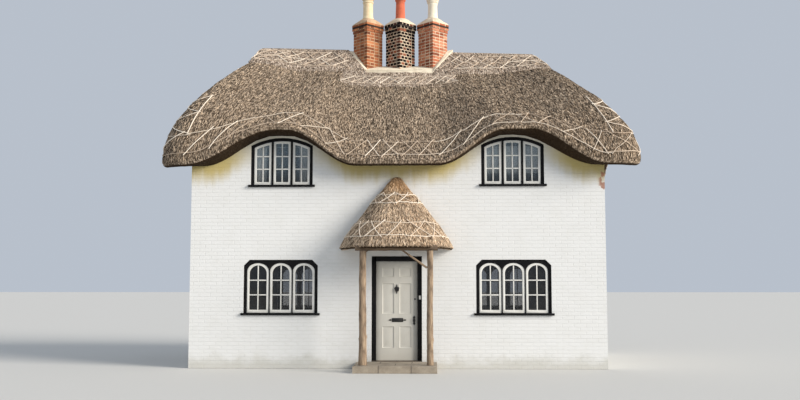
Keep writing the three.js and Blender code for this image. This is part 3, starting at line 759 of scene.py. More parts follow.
@dataclass(frozen=True)
class PaintedBrick:
    """Brickwork under many coats of white paint, stained under the eaves, with painted shade of the eaves
    mixed into the stain.
    """

    name: str = "painted_brick"
    white: Colour = (0.775, 0.778, 0.765)
    worn: Colour = (0.68, 0.675, 0.635)
    joint: Colour = (0.5, 0.48, 0.4)
    # The olive under the eaves: partly a real stain, partly painted shade of the eaves.
    stain: Colour = (0.5, 0.38, 0.075)
    run: Colour = (0.4, 0.37, 0.25)
    splashed: Colour = (0.34, 0.32, 0.24)
    bare: Colour = (0.36, 0.15, 0.09)
    brick: Span = (0.235, 0.075)
    joint_width: float = 0.007
    window_x: float = 2.3
    eave_z: float = 4.08
    bare_x: Span = (4.04, 4.1)
    bare_y: Span = (-1.0, -2.0)
    bare_low: Span = (3.5, 3.6)
    bare_high: Span = (3.98, 3.9)

    def make(self, along_x: bool) -> Material:
        """Makes the finish.

        Args:
            along_x: Whether the wall runs along X, with eyebrows over its windows.

        Returns:
            The material.
        """
        paint = Paint(self.name + ("_front" if along_x else "_side"))
        place = paint.place()
        x, y, z = paint.parts(place)
        joints = paint.joints(x if along_x else y, z, self.brick, self.joint_width, 0.6)
        tones = paint.noise(place, 3.1, 4)
        fine = paint.noise(place, 38.0, 4)
        colour = paint.mix(tones.step(0.35, 0.8) * 0.3, self.white, self.worn)
        colour = paint.mix(joints * 0.07, colour, self.joint)
        if along_x:
            lifts = [(abs(x - middle) - 0.1).step(1.45, 0.0) for middle in (-self.window_x, self.window_x)]
            lift = lifts[0].at_least(lifts[1])
        else:
            lift = (abs(y) - 0.3).step(2.3, 0.0)
        # The olive band just under the eaves, strongest between the eyebrows: partly a real stain, partly
        # painted shade of the eaves.
        below = lift * 0.6 + self.eave_z - z
        between = lift.step(0.75, 0.1) * 0.65 + 0.35
        drips = paint.noise(place, (5.5, 5.5, 0.9), 3)
        stain_and_eave_shade = (below + drips * -0.35).step(0.32, -0.12) * between
        colour = paint.mix(stain_and_eave_shade * 0.85, colour, self.stain)
        streaks = paint.noise(place, (9.0, 9.0, 0.55), 3).step(0.58, 0.8) * below.step(1.7, 0.3)
        colour = paint.mix(streaks * 0.12, colour, self.run)
        foot = (z + tones * -0.4).step(0.12, -0.15)
        colour = paint.mix(foot * 0.4, colour, self.splashed)
        if along_x:
            corner = x.step(*self.bare_x) * y.step(*self.bare_y)
            corner = corner * z.step(*self.bare_low) * z.step(*self.bare_high)
            patch = corner * paint.noise(place, 9.0, 3).step(0.45, 0.53)
            colour = paint.mix(patch * 0.85, colour, self.bare)
        relief = joints * -0.4 + fine * 0.25 + tones * 0.3
        return paint.finish(Base_Color=colour, Roughness=0.85, Normal=paint.bump(relief, 0.006))


# Painted shadow: the colour of the dark line under the upper course of each stack's cap.
PAINTED_CAP_SHADOW: Colour = (0.015, 0.011, 0.01)


def painted_cap_shadow(z: Level) -> Level:
    """How dark a stack is at a height: a line of painted shadow runs round under the upper course of its cap.
    """
    low, high, soft = 7.492, 7.546, 0.008
    return z.step(low, low + soft) * z.step(high, high - soft)


@dataclass(frozen=True)
class Brick:
    """Old bricks, each burnt to a shade of its own, with soot."""

    name: str
    dark: Colour
    middle: Colour
    light: Colour
    sooty: float = 0.35
    soot: Colour = (0.03, 0.024, 0.02)

    def make(self) -> Material:
        """Makes the finish.

        Returns:
            The material.
        """
        paint = Paint(self.name)
        place = paint.place()
        grain = paint.noise(place, 55.0, 4)
        weather = paint.noise(place, 6.0, 3)
        _, _, z = paint.parts(place)
        burnt = paint.shade() + (grain - 0.5) * 0.35
        colour = paint.ramp(burnt, (0.0, self.dark), (0.5, self.middle), (1.0, self.light))
        colour = paint.mix(weather.step(0.45, 0.75) * self.sooty, colour, self.soot)
        # The painted shadow line under the cap's upper course.
        colour = paint.mix(painted_cap_shadow(z + (weather - 0.5) * 0.02) * 0.9, colour, PAINTED_CAP_SHADOW)
        paint.finish(Specular_IOR_Level=0.12)
        return paint.finish(Base_Color=colour, Roughness=0.92, Normal=paint.bump(grain, 0.004))


@dataclass(frozen=True)
class Mortar:
    """Rough lime mortar, washed pale."""

    name: str
    pale: Colour
    deep: Colour

    def make(self) -> Material:
        """Makes the finish.

        Returns:
            The material.
        """
        paint = Paint(self.name)
        place = paint.place()
        sand = paint.noise(place, 90.0, 4)
        wash = paint.noise(place, 7.0, 4)
        colour = paint.ramp(wash, (0.3, self.deep), (0.55, self.pale), (0.8, self.pale))
        colour = paint.mix(sand.step(0.5, 0.9) * 0.3, colour, self.deep)
        # The painted shadow line under the cap's upper course, on the mortar too.
        colour = paint.mix(painted_cap_shadow(paint.parts(place)[2]) * 0.95, colour, PAINTED_CAP_SHADOW)
        return paint.finish(Base_Color=colour, Roughness=0.95, Normal=paint.bump(sand * 0.5 + wash, 0.01))


@dataclass(frozen=True)
class Clay:
    """Unglazed clay, stained towards the top by smoke and by rain below."""

    name: str
    body: Colour
    stain: Colour
    sooty_from: float
    smoke: Colour = (0.05, 0.04, 0.03)

    def make(self) -> Material:
        """Makes the finish.

        Returns:
            The material.
        """
        paint = Paint(self.name)
        place = paint.place()
        _, _, z = paint.parts(place)
        cloud = paint.noise(place, 9.0, 4)
        grain = paint.noise(place, 120.0, 3)
        rings = paint.noise(place, (1.5, 1.5, 60.0), 2)
        colour = paint.mix(cloud.step(0.35, 0.75) * 0.5, self.body, self.stain)
        smoked = (z + cloud * 0.2).step(self.sooty_from, self.sooty_from + 0.25)
        colour = paint.mix(smoked * 0.45, colour, self.smoke)
        relief = grain * 0.3 + rings * 0.6
        return paint.finish(Base_Color=colour, Roughness=0.8, Normal=paint.bump(relief, 0.003))


@dataclass(frozen=True)
class Gloss:
    """Oil paint on wood, with brush marks, dust on its ledges and a little wear."""

    name: str
    colour: Colour
    dust: Colour
    roughness: float = 0.3
    dusty: float = 0.3
    shine: float = 0.5

    def make(self) -> Material:
        """Makes the finish.

        Returns:
            The material.
        """
        paint = Paint(self.name)
        place = paint.place()
        brush = paint.noise(place, (90.0, 90.0, 6.0), 3)
        dirt = paint.noise(place, 5.0, 5)
        spots = paint.noise(place, 42.0, 4)
        colour = paint.mix(dirt.step(0.42, 0.8) * self.dusty, self.colour, self.dust)
        colour = paint.mix(spots.step(0.62, 0.75) * self.dusty * 0.6, colour, self.dust)
        rough = dirt * 0.35 + (self.roughness - 0.1)
        paint.finish(Specular_IOR_Level=self.shine)
        return paint.finish(Base_Color=colour, Roughness=rough, Normal=paint.bump(brush, 0.0012))


@dataclass(frozen=True)
class Pane:
    """Clear old window glass, a little dusty and uneven, part opaque with painted shade of the dark room
    behind and a painted reflection of the sky on the upper panes.
    """

    name: str = "window_glass"
    # Painted shade of the dark room behind the glass.
    painted_room_shade: Colour = (0.018, 0.02, 0.022)
    # Painted reflection of the sky, on the upper panes.
    sky: Colour = (0.22, 0.3, 0.36)
    upper_z: Span = (3.6, 4.4)

    def make(self) -> Material:
        """Makes the finish.

        Returns:
            The material.
        """
        paint = Paint(self.name)
        place = paint.place()
        wave = paint.noise(place, 3.5, 2)
        film = paint.noise(place, 14.0, 3)
        _, _, z = paint.parts(place)
        high = z.step(*self.upper_z)
        paint.finish(IOR=1.5, Specular_IOR_Level=0.8)
        # Painted room shade on the lower panes, painted sky reflection on the upper ones.
        colour = paint.mix(high, self.painted_room_shade, self.sky)
        clear = film * 0.08 + 0.32 - high * 0.04
        rough = film * 0.05 + 0.02
        return paint.finish(Base_Color=colour, Alpha=clear, Roughness=rough, Normal=paint.bump(wave, 0.004))


@dataclass(frozen=True)
class Log:
    """A peeled pole, grey-brown and silvered, with cracks along it and bark left in places."""

    name: str
    pale: Colour
    deep: Colour
    bark: Colour

    def make(self) -> Material:
        """Makes the finish.

        Returns:
            The material.
        """
        paint = Paint(self.name)
        mapped = paint.mapped()
        grain = paint.noise(mapped, (70.0, 4.0, 1.0), 4, 0.65)
        cracks = paint.noise(mapped, (30.0, 1.2, 1.0), 2)
        blotch = paint.noise(mapped, (7.0, 3.0, 1.0), 3)
        colour = paint.ramp(grain, (0.3, self.deep), (0.65, self.pale))
        colour = paint.mix(cracks.step(0.6, 0.68) * 0.7, colour, self.bark)
        colour = paint.mix(blotch.step(0.45, 0.66) * 0.7, colour, self.bark)
        relief = paint.bump(grain - cracks.step(0.58, 0.68), 0.006)
        return paint.finish(Base_Color=colour, Roughness=0.85, Normal=relief)


@dataclass(frozen=True)
class Flags:
    """Worn stone paving in slabs."""

    name: str
    pale: Colour = (0.42, 0.36, 0.28)
    deep: Colour = (0.2, 0.165, 0.125)
    joint: Colour = (0.12, 0.1, 0.08)
    slab: Span = (0.62, 0.45)

    def make(self) -> Material:
        """Makes the finish.

        Returns:
            The material.
        """
        paint = Paint(self.name)
        place = paint.place()
        x, y, _ = paint.parts(place)
        joints = paint.joints(x, y, self.slab, 0.008)
        grain = paint.noise(place, 60.0, 5)
        cloud = paint.noise(place, 4.0, 4)
        colour = paint.ramp(cloud + grain * 0.3, (0.4, self.deep), (0.85, self.pale))
        colour = paint.mix(joints, colour, self.joint)
        relief = paint.bump(grain * 0.4 - joints + cloud * 0.5, 0.006)
        return paint.finish(Base_Color=colour, Roughness=0.9, Normal=relief)


@dataclass(frozen=True)
class Boards:
    """Wide waxed floor boards."""

    name: str = "floor_boards"
    pale: Colour = (0.33, 0.2, 0.1)
    deep: Colour = (0.15, 0.085, 0.04)
    gap: Colour = (0.02, 0.012, 0.008)
    board: Span = (2.4, 0.2)

    def make(self) -> Material:
        """Makes the finish.

        Returns:
            The material.
        """
        paint = Paint(self.name)
        place = paint.place()
        x, y, _ = paint.parts(place)
        joints = paint.joints(x, y, self.board, 0.002)
        grain = paint.noise(place, (2.5, 40.0, 8.0), 4)
        colour = paint.mix(joints, paint.ramp(grain, (0.3, self.deep), (0.7, self.pale)), self.gap)
        return paint.finish(Base_Color=colour, Roughness=0.5, Normal=paint.bump(grain * 0.5 - joints, 0.003))


@dataclass(frozen=True)
class Net:
    """Thin white net that hangs in folds."""

    name: str = "net_cloth"
    white: Colour = (0.93, 0.93, 0.89)
    thick: Colour = (0.7, 0.7, 0.67)

    def make(self) -> Material:
        """Makes the finish.

        Returns:
            The material.
        """
        paint = Paint(self.name)
        mapped = paint.mapped()
        weave = paint.noise(mapped, (260.0, 260.0, 1.0), 2)
        figure = paint.cells(mapped, (9.0, 9.0, 1.0))
        colour = paint.mix(figure.step(0.2, 0.6) * 0.25, self.white, self.thick)
        return paint.finish(Base_Color=colour, Roughness=0.9, Normal=paint.bump(weave, 0.001))


@dataclass(frozen=True)
class Finishes:
    """Every finish of the cottage, made once."""

    thatch: Straw = Straw(
        "weathered_straw",
        (0.014, 0.01, 0.006), (0.215, 0.153, 0.1), (0.77, 0.61, 0.45), (0.33, 0.34, 0.37), edge=-0.07,
    )
    ridge: Straw = Straw(
        "ridge_straw", (0.05, 0.036, 0.025), (0.36, 0.265, 0.19), (0.9, 0.76, 0.62), (0.52, 0.52, 0.55)
    )
    porch: Straw = Straw(
        "porch_straw",
        (0.06, 0.04, 0.026), (0.47, 0.33, 0.21), (1.0, 0.81, 0.6), (0.95, 0.95, 1.0), edge=0.06, golden=3.3,
    )
    hazel: Straw = Straw(
        "hazel_rods", (0.34, 0.25, 0.18), (0.7, 0.57, 0.44), (0.96, 0.86, 0.72), (1.0, 1.0, 1.0)
    )
    orange: Brick = Brick("orange_bricks", (0.17, 0.06, 0.032), (0.4, 0.14, 0.062), (0.54, 0.22, 0.1))
    flared: Brick = Brick(
        "flared_bricks", (0.004, 0.003, 0.003), (0.07, 0.03, 0.022), (0.42, 0.15, 0.08), sooty=0.3
    )
    red: Brick = Brick("red_bricks", (0.24, 0.075, 0.042), (0.48, 0.16, 0.085), (0.66, 0.32, 0.19), sooty=0.2)


# The roof


@dataclass
class Surface:
    """The laid straw as rows of places up the slope, with the ways out of it and down it."""

    points: Array
    normals: Array
    uv: Array

    @classmethod
    def of(cls, points: Array, uv: Array, ring: bool) -> "Surface":
        """Finds the normals of rows of points.

        Args:
            points: Places as [row, column, axis].
            uv: The map as [row, column, 2].
            ring: Whether the last column meets the first.

        Returns:
            The surface.
        """
        if ring:
            across = np.roll(points, -1, axis=1) - np.roll(points, 1, axis=1)
        else:
            across = np.gradient(points, axis=1)
        normals = np.cross(across, np.gradient(points, axis=0))
        normals /= np.maximum(np.linalg.norm(normals, axis=2, keepdims=True), 1e-9)
        return cls(points, normals, uv)

    def raised(self, amount: Array) -> Array:
        """The places moved out along their normals."""
        return self.points + self.normals * amount[..., None]

    def at(self, column: Array, row: Array) -> tuple[Array, Array, Array]:
        """Reads places between the rows and columns.

        Args:
            column: Column numbers, with fractions.
            row: Row numbers, with fractions.

        Returns:
            The places, the ways out, and the ways down the slope.
        """
        rows, columns = self.points.shape[:2]
        low = np.clip(np.floor(row).astype(int), 0, rows - 2)
        left = np.floor(column).astype(int)
        up, along = (row - low)[:, None], (column - left)[:, None]
        left, right = left % columns, (left + 1) % columns

        def read(of: Array) -> Array:
            """Blends the four nearest values.

            Args:
                of: Values as [row, column, axis].

            Returns:
                One value a place.
            """
            below = of[low, left] * (1 - along) + of[low, right] * along
            above = of[low + 1, left] * (1 - along) + of[low + 1, right] * along
            return below * (1 - up) + above * up

        down = read(self.points[np.r_[0 : rows - 1, rows - 2]]) - read(self.points[np.r_[1:rows, rows - 1]])
        down /= np.maximum(np.linalg.norm(down, axis=1, keepdims=True), 1e-9)
        return read(self.points), read(self.normals), down

    def off(self, column: Array, row: Array, lift: float) -> Array:
        """Places that stand off the straw.

        Args:
            column: Column numbers, with fractions.
            row: Row numbers, with fractions.
            lift: How far they stand off.

        Returns:
            Places as [point, axis].
        """
        place, out, _ = self.at(column, row)
        return place + out * lift

    def straws(
        self,
        count: int,
        columns: tuple[int, int],
        rows: tuple[int, int],
        size: "StrawSize",
        seed: int,
        clear: Callable[[Array], Array] | None = None,
    ) -> Batch:
        """Scatters loose straws that point down the slope.

        Args:
            count: How many.
            columns: The first and last column they grow on.
            rows: The first and last row.
            size: How long, thick and proud they are.
            seed: Which scatter.
            clear: Tells the places where straws may grow, if not all.

        Returns:
            The straws.
        """
        dice = np.random.default_rng(seed)
        wrapped = np.arange(columns[0], columns[1]) % self.points.shape[1]
        after = (wrapped + 1) % self.points.shape[1]
        span = slice(rows[0], rows[1])
        here = self.points[span][:, wrapped]
        above = self.points[rows[0] + 1 : rows[1] + 1][:, wrapped]
        wide = np.linalg.norm(self.points[span][:, after] - here, axis=2)
        tall = np.linalg.norm(above - here, axis=2)
        area = (wide * tall).ravel()
        cell = dice.choice(area.size, count, p=area / area.sum())
        row = rows[0] + cell // len(wrapped) + dice.random(count)
        column = columns[0] + cell % len(wrapped) + dice.random(count)
        if clear is not None:
            kept = clear(self.at(column, row)[0])
            row, column, count = row[kept], column[kept], int(kept.sum())
        place, out, down = self.at(column, row)
        below = np.linalg.norm(place - self.at(column, np.full(count, float(rows[0])))[0], axis=1)
        sideways = np.cross(out, down)
        lean = dice.normal(0, size.spread, (count, 1))
        rise = size.proud * dice.uniform(0.3, 1.0, (count, 1))
        length = np.minimum(size.length * dice.uniform(0.6, 1.3, (count, 1)), below[:, None] + size.over)
        point = down + sideways * lean + out * rise
        tip = place + point / np.linalg.norm(point, axis=1, keepdims=True) * length
        half = size.thickness / 2 * dice.uniform(0.7, 1.4, (count, 1))
        root = place - out * 0.004
        base = [root + sideways * half, root - sideways * half, root + out * half * 1.6]
        points = np.stack([*base, tip], 1).reshape(-1, 3)
        first = np.arange(count)[:, None] * 4
        sides = ([0, 1, 2], [0, 2, 3], [2, 1, 3], [1, 0, 3])
        faces = np.concatenate([first + np.array(side) for side in sides])
        dark = dice.random(count) < size.dark_share
        brightest, range_of_shades = np.where(dark, 0.27, 1.0), np.where(dark, 0.28, 0.4)
        shade = brightest - dice.random(count) * range_of_shades
        batch = Batch()
        batch.add(points, faces, np.repeat(shade, 4))
        return batch


@dataclass(frozen=True)
class StrawSize:
    """A loose straw: how far its tip stands off, leans sideways and hangs over, and how many are dark."""

    length: float
    thickness: float
    proud: float
    spread: float = 0.12
    over: float = 0.012
    dark_share: float = 0.53


@dataclass
class Roof:
    """The thatch: four slopes in one sweep, eyebrows over the windows, a ridge layer and its rods."""

    finishes: Finishes
    spacing: float = 0.03
    corner_steps: int = 16
    left: float = 4.8
    right: float = 4.92
    front: float = 2.7
    radius: float = 0.55
    eave_z: float = 4.02
    lip_inset: float = 0.07
    lip_height: float = 0.1
    ridge_left: float = 3.04
    ridge_right: float = 3.005
    ridge_z: float = 6.858
    ridge_half: float = 0.02
    ridge_fall: float = 0.032
    hip_root: float = 0.84
    hip_start: float = 2.7
    brow_x: float = 2.3
    brow_rise: float = 0.69
    brow_inner: Span = (0.1, 1.47)
    brow_outer: tuple[Span, ...] = ((0.15, 1.95), (0.37, 1.9))
    wall_rise: Span = (0.05, 0.67)
    wall_outer: tuple[Span, ...] = ((0.2, 1.64), (0.1, 1.75))
    side_brow: Span = (0.3, 2.6)
    wall: tuple[float, float, float] = (4.18, 2.25, 0.3)
    attic_ridge: float = 6.39
    saddle: tuple[Span, ...] = ((0.8, 0.035), (0.87, 0.06), (0.94, 0.09), (1.0, 0.13))
    apron: tuple[float, float, float] = (1.2, 0.725, 0.52)
    level_count: int = 118
    attic_half: float = 2.85
    rail_heights: Span = (0.3, 0.74)
    hip_band: float = 1.25
    skirt_shares: Span = (0.68, 0.83)
    skirt_half: float = 1.33
    slope_straws: tuple[int, int] = (30000, 12000)
    ridge_straws: int = 7000

    def __post_init__(self) -> None:
        """Lays out the columns and the rows."""
        kinds, shares = [], []
        straights = (self.left + self.right, 2 * self.front) * 2
        self.sides = []
        for side, length in enumerate(straights):
            steps = round((length - 2 * self.radius) / self.spacing)
            self.sides.append(steps)
            for kind, count in ((side, steps), (side + 4, self.corner_steps)):
                kinds += [kind] * count
                shares += [i / count for i in range(count)]
        self.kinds, self.shares = np.array(kinds), np.array(shares)
        self.eave = self.plan(self.left, self.right, self.front, self.radius)
        self.top = self.plan(self.ridge_left, self.ridge_right, self.ridge_half, self.ridge_half * 0.98)
        self.brow = self.eyebrow(self.eave, self.brow_outer)
        self.fade = np.where(np.abs(self.eave[:, 1]) < self.front - 0.001, 4.0, 1.5)
        self.along = run_of(self.eave)
        self.levels = np.linspace(0, 1, self.level_count) ** 1.6
        self.surface = self.lay()

    def plan(self, left: float, right: float, y: float, radius: float) -> Array:
        """A rounded rectangle in plan, at every column.

        Args:
            left: How far it reaches to the left.
            right: How far to the right.
            y: Half its depth.
            radius: Its corners' radius.

        Returns:
            Places as [column, 2].
        """
        west, east, north = radius - left, right - radius, y - radius
        starts = ((west, -y), (right, -north), (east, y), (-left, north))
        ends = ((east, -y), (right, north), (west, y), (-left, -north))
        centres = ((east, -north), (east, north), (west, north), (west, -north))
        out = np.zeros((len(self.kinds), 2))
        for side in range(4):
            on = self.kinds == side
            share = self.shares[on][:, None]
            out[on] = np.array(starts[side]) * (1 - share) + np.array(ends[side]) * share
            on = self.kinds == side + 4
            angle = (self.shares[on] + side - 1) * math.pi / 2
            out[on] = np.array(centres[side]) + radius * np.stack([np.cos(angle), np.sin(angle)], 1)
        return out

    def eyebrow(self, plan: Array, outer: tuple[Span, ...]) -> Array:
        """How much the eyebrows lift each column, from 0 to 1.

        Args:
            plan: Where the columns are, as [column, 2].
            outer: Where the left one's left side and the right one's right side start to fall, and end.

        Returns:
            The lift of each.
        """

        def lift(offset: Array, ends: Array | Span) -> Array:
            """How much one eyebrow lifts the straw.

            Args:
                offset: How far each place is from its middle.
                ends: How far it runs level, and where it ends.

            Returns:
                The lift, from 0 to 1.
            """
            flat, reach = np.moveaxis(np.asarray(ends), -1, 0)
            share = np.clip((np.abs(offset) - flat) / (reach - flat), 0, 1)
            return (1 + np.cos(math.pi * share)) / 2

        x, y = plan.T
        left = lift(x + self.brow_x, np.where((x < -self.brow_x)[:, None], outer[0], self.brow_inner))
        right = lift(x - self.brow_x, np.where((x < self.brow_x)[:, None], self.brow_inner, outer[1]))
        side = lift(y, self.side_brow)
        turn = np.abs(np.cos((self.shares + self.kinds - 5) * math.pi / 2))
        on_end = np.where(self.kinds > 3, turn * side, side)
        return np.where((self.kinds == 0) | (self.kinds == 2), np.maximum(left, right), on_end)

    def outer(self, share: float, above: float = 0.0) -> Array:
        """The straw's outer face at a share of the way in from the lip to the ridge.

        Args:
            share: From 0 at the lip to 1 at the ridge.
            above: How far the layer lies above the face.

        Returns:
            Places as [column, 3].
        """
        place = self.eave * (1 - share) + self.top * share
        ends = np.where(self.eave[:, 0] < 0, self.left, self.right) - self.radius
        full = np.clip((np.abs(self.eave[:, 0]) - self.hip_start) / (ends - self.hip_start), 0, 1)
        full = np.where(np.abs(self.eave[:, 1]) < self.front - 0.001, 1, full * full * (3 - 2 * full))
        hip = self.hip_root * math.sqrt(share) + (1 - self.hip_root) * share
        height = share * (1 - full) + hip * full
        low = self.eave_z + self.lip_height
        z = low + (self.ridge_z - self.ridge_fall * place[:, 0] - low) * height
        z += self.brow_rise * self.brow * (1 - share) ** self.fade + above
        return np.column_stack([place, z])

    def underside(self) -> tuple[list[Array], list[Array]]:
        """The rows under the eave and inside the roof.

        Returns:
            The rows from the wall out to the lip, and those over the upper rooms from the ridge down.
        """
        half_x, half_y, thick = self.wall
        low, high = self.wall_rise
        rows = []
        for margin in (-thick, 0.02):
            plan = self.plan(half_x + margin, half_x + margin, half_y + margin, 0.02)
            brow = self.eyebrow(plan, self.wall_outer)
            rows.append(np.column_stack([plan, self.eave_z + low * (1 - brow) + high * brow]))
        for turn in np.linspace(math.pi / 2, 0, 9)[:-1]:
            inset = self.lip_inset * (1 - math.cos(turn))
            plan = self.plan(self.left - inset, self.right - inset, self.front - inset, self.radius)
            drop = self.lip_height * (1 - math.sin(turn))
            brow = self.eyebrow(plan, self.brow_outer)
            rows.append(np.column_stack([plan, self.eave_z + drop + self.brow_rise * brow]))
        inside = []
        for share in (1.0, 0.65, 0.3):
            part = 1 - share**1.1
            x = self.attic_half + (half_x - thick - self.attic_half) * part
            y = self.ridge_half + (half_y - thick - self.ridge_half) * part
            plan = self.plan(x, x, y, min(y * 0.98, 0.02 + 0.7 * share))
            foot = self.eave_z + low
            brow = (high - low) * (1 - share) ** 1.5 * self.eyebrow(plan, self.wall_outer)
            inside.append(np.column_stack([plan, foot + (self.attic_ridge - foot) * share + brow]))
        return rows, inside

    def lay(self) -> Surface:
        """The whole closed section, uneven where it shows.

        Returns:
            The surface, with one row a level.
        """
        under, inside = self.underside()
        rows = [*under, *[self.outer(share) for share in self.levels], *inside]
        points = np.array(rows)
        self.lip_row, self.eave_row = 2, len(under)
        self.ridge_row = len(under) + len(self.levels) - 1
        up = run_of(points)
        up -= up[self.eave_row]
        uv = np.stack([np.broadcast_to(self.along, up.shape), up], 2)
        surface = Surface.of(points, uv, ring=True)
        mapped = np.stack([self.along[None, :] + 0 * up, up, 0 * up], 2)
        lumps = 0.016 * Wander.value(points, 0.75, 3) + 0.009 * Wander.value(points, 0.3, 5)
        ribs = 0.007 * Wander.value(mapped, (0.085, 0.3, 1.0), 7) + 0.004 * Wander.value(points, 0.07, 9)
        fade = np.zeros(len(rows))
        fade[self.lip_row + 1 : self.ridge_row + 1] = 1
        fade[self.lip_row] = 0.6
        height = (up / up[self.ridge_row]).clip(0, 1)
        amount = (lumps + ribs - 0.006) * fade[:, None] * np.where(height > 0.93, (1 - height) / 0.07, 1)
        surface.points = surface.raised(amount)
        inside = self.under_mortar(surface.points)
        sunk = 0.11 * np.clip((inside + 0.035) / 0.05, 0, 1) + 0.6 * np.maximum(inside - 0.02, 0)
        surface.points[self.eave_row : self.ridge_row + 1, :, 2] -= sunk[self.eave_row : self.ridge_row + 1]
        self.up = run_of(surface.points)
        self.up -= self.up[self.lip_row]
        return surface

    def under_mortar(self, points: Array) -> Array:
        """How far inside the plan of the chimney's mortar each place lies.

        Args:
            points: Places as [..., axis].

        Returns:
            The distances in metres, less than 0 outside.
        """
        wide, narrow, deep = self.apron
        x, y = np.abs(points[..., 0]), np.abs(points[..., 1])
        slant = (wide - (wide - narrow) * y / deep - x) * deep / math.hypot(deep, wide - narrow)
        return np.minimum(slant, deep - y)

    def clear(self, points: Array) -> Array:
        """Whether each place is clear of the chimney's mortar."""
        return self.under_mortar(points) < -0.015

    def span(self, side: int) -> tuple[int, int]:
        """The first and last column of a slope, from hip to hip.

        Args:
            side: 0 for the front, then counter-clockwise.

        Returns:
            Column numbers, which may run past the last.
        """
        start = sum(self.sides[:side]) + self.corner_steps * side
        half = self.corner_steps // 2
        return start - half, start + self.sides[side] + half

    def slope(self, side: int, name: str) -> Piece:
        """One slope as a closed piece.

        Args:
            side: 0 for the front, then counter-clockwise.
            name: The object's name.

        Returns:
            The slope.
        """
        first, last = self.span(side)
        columns = np.arange(first, last + 1) % len(self.kinds)
        points = self.surface.points[:, columns]
        uv = self.surface.uv[:, columns].copy()
        uv[:, :, 0] = uv[:, :, 0] - (uv[:, :, 0] > uv[0, -1, 0] + 1) * (self.along[-1] + self.spacing)
        points = np.concatenate([points, points[:1]])
        uv = np.concatenate([uv, uv[-1:] * [[[1, 0]]] + [[[0, uv[-1, 0, 1] + 2]]]])
        obj = Bench.grid(name, points, uv)
        Bench.close(obj)
        Bench.smooth(obj, 60)
        return obj

    def on_slope(self, columns: Array, distance: Array | float, lift: float) -> Array:
        """Places at a distance up the slope from the lip.

        Args:
            columns: Column numbers, with fractions.
            distance: Metres up from the lip.
            lift: Metres out from the straw.

        Returns:
            Places as [point, 3].
        """
        whole = np.floor(columns).astype(int) % len(self.kinds)
        reach = np.broadcast_to(np.asarray(distance, float), columns.shape)
        numbers = np.arange(self.lip_row, self.ridge_row + 1)
        rows = np.array([np.interp(d, self.up[numbers, column], numbers) for column, d in zip(whole, reach)])
        return self.surface.off(columns, rows, lift)

    def rails(self) -> Batch:
        """The hazel rods: two rails along the eaves with crossed rods between, and bands up the hips.

        Returns:
            The rods.
        """
        dice = np.random.default_rng(21)
        batch = Batch()
        total = len(self.kinds)
        thin, thick = 0.0055, 0.0085
        low, high = self.rail_heights
        for level in (low, high):
            start = 0.0
            while start < total:
                length = dice.uniform(45, 75)
                columns = np.arange(start, min(start + length + 5, total + 4), 2.5)
                wobble = level + 0.016 * np.sin(columns * 0.21 + level * 9) + dice.normal(0, 0.008)
                path = self.on_slope(columns, wobble, 0.016)
                batch.rod(path, dice.uniform(thin, thick), dice.uniform(0.2, 1))
                start += length
        start = 0.0
        while start < total - 10:
            reach = dice.uniform(9, 19)
            ways = [(low - 0.04, high + 0.05), (high + 0.05, low - 0.04)]
            for first, last in ways if dice.random() < 0.6 else [ways[0 if dice.random() < 0.5 else 1]]:
                columns = np.linspace(start, start + reach, 9)
                path = self.on_slope(columns, np.linspace(first, last, 9) + dice.normal(0, 0.02), 0.022)
                batch.rod(path, dice.uniform(thin, thick), dice.uniform(0.25, 1))
            start += reach + dice.uniform(-1.5, 3)
        for side in range(4):
            middle = sum(self.sides[: side + 1]) + self.corner_steps * (side + 0.5)
            heights = np.linspace(high, high + self.hip_band, 14)
            for aside in (-7.5, 7.5):
                columns = np.full(14, middle + aside) % total
                batch.rod(self.on_slope(columns, heights, 0.01), 0.0095, dice.uniform(0.6, 1))
            for i in range(4):
                across = np.linspace(-8.5, 8.5, 7) * (1 if i % 2 else -1)
                rise = np.linspace(high + 0.3 * i, high + 0.3 * i + 0.32, 7)
                batch.rod(self.on_slope((middle + across) % total, rise, 0.018), 0.009, dice.uniform(0.7, 1))
        return batch

    def skirt(self, side: int) -> tuple[Piece, Batch]:
        """The strip of newer straw below the chimney's mortar, with its rods.

        Args:
            side: 0 for the front, 2 for the back.

        Returns:
            The strip and the rods.
        """
        dice = np.random.default_rng(27 + side)
        on = np.flatnonzero((self.kinds == side) & (np.abs(self.eave[:, 0]) < 2.1))
        base, back = self.surface.points, 1 if side else -1
        depths = [self.front - (self.front - self.ridge_half) * share for share in self.skirt_shares]
        first_row, last_row = (int(np.argmin(np.abs(base[:, on[0], 1] - depth * back))) for depth in depths)
        span = np.arange(first_row, last_row + 1)
        columns = on[np.abs(base[span[0], on, 0]) < self.skirt_half]
        block = base[np.ix_(span, columns)]
        out = self.surface.normals[np.ix_(span, columns)]
        edge = 0.03 * Wander.value(block[:1], 0.09, 29)[..., None]
        near = 1 - np.clip((np.abs(block[..., 0]) - 1.0) / 0.33, 0, 1) ** 2
        level = np.linspace(0, 1, len(span))[:, None]
        thick = (0.013 + 0.005 * Wander.value(block, 0.13, 28)) * near * np.minimum(1, 4 * level + 0.15)
        thick -= 0.003 * (1 - near)
        top = block + out * thick[..., None]
        top[0] += (block[1] - block[0]) * edge[0] * near[:1, :, None][0] * 14
        points = np.concatenate([block[:1] - out[:1] * 0.05, top, block[-1:] - out[-1:] * 0.05])
        uv = self.surface.uv[np.ix_(np.r_[span[0], span, span[-1]], columns)]
        under = points[[0]] * 0.999 + points[[-1]] * 0.001
        closed, seam = np.concatenate([points, under]), np.concatenate([uv, uv[-1:]])
        piece = Bench.grid(f"mortar_skirt_{side}", closed, seam)
        Bench.close(piece)
        Bench.outwards(piece)
        Bench.smooth(piece, 50)
        rods = Batch()
        levels = [float(np.interp(share, self.skirt_shares, (span[0], span[-1]))) for share in (0.706, 0.779)]
        first, last = float(columns[1]), float(columns[-2])
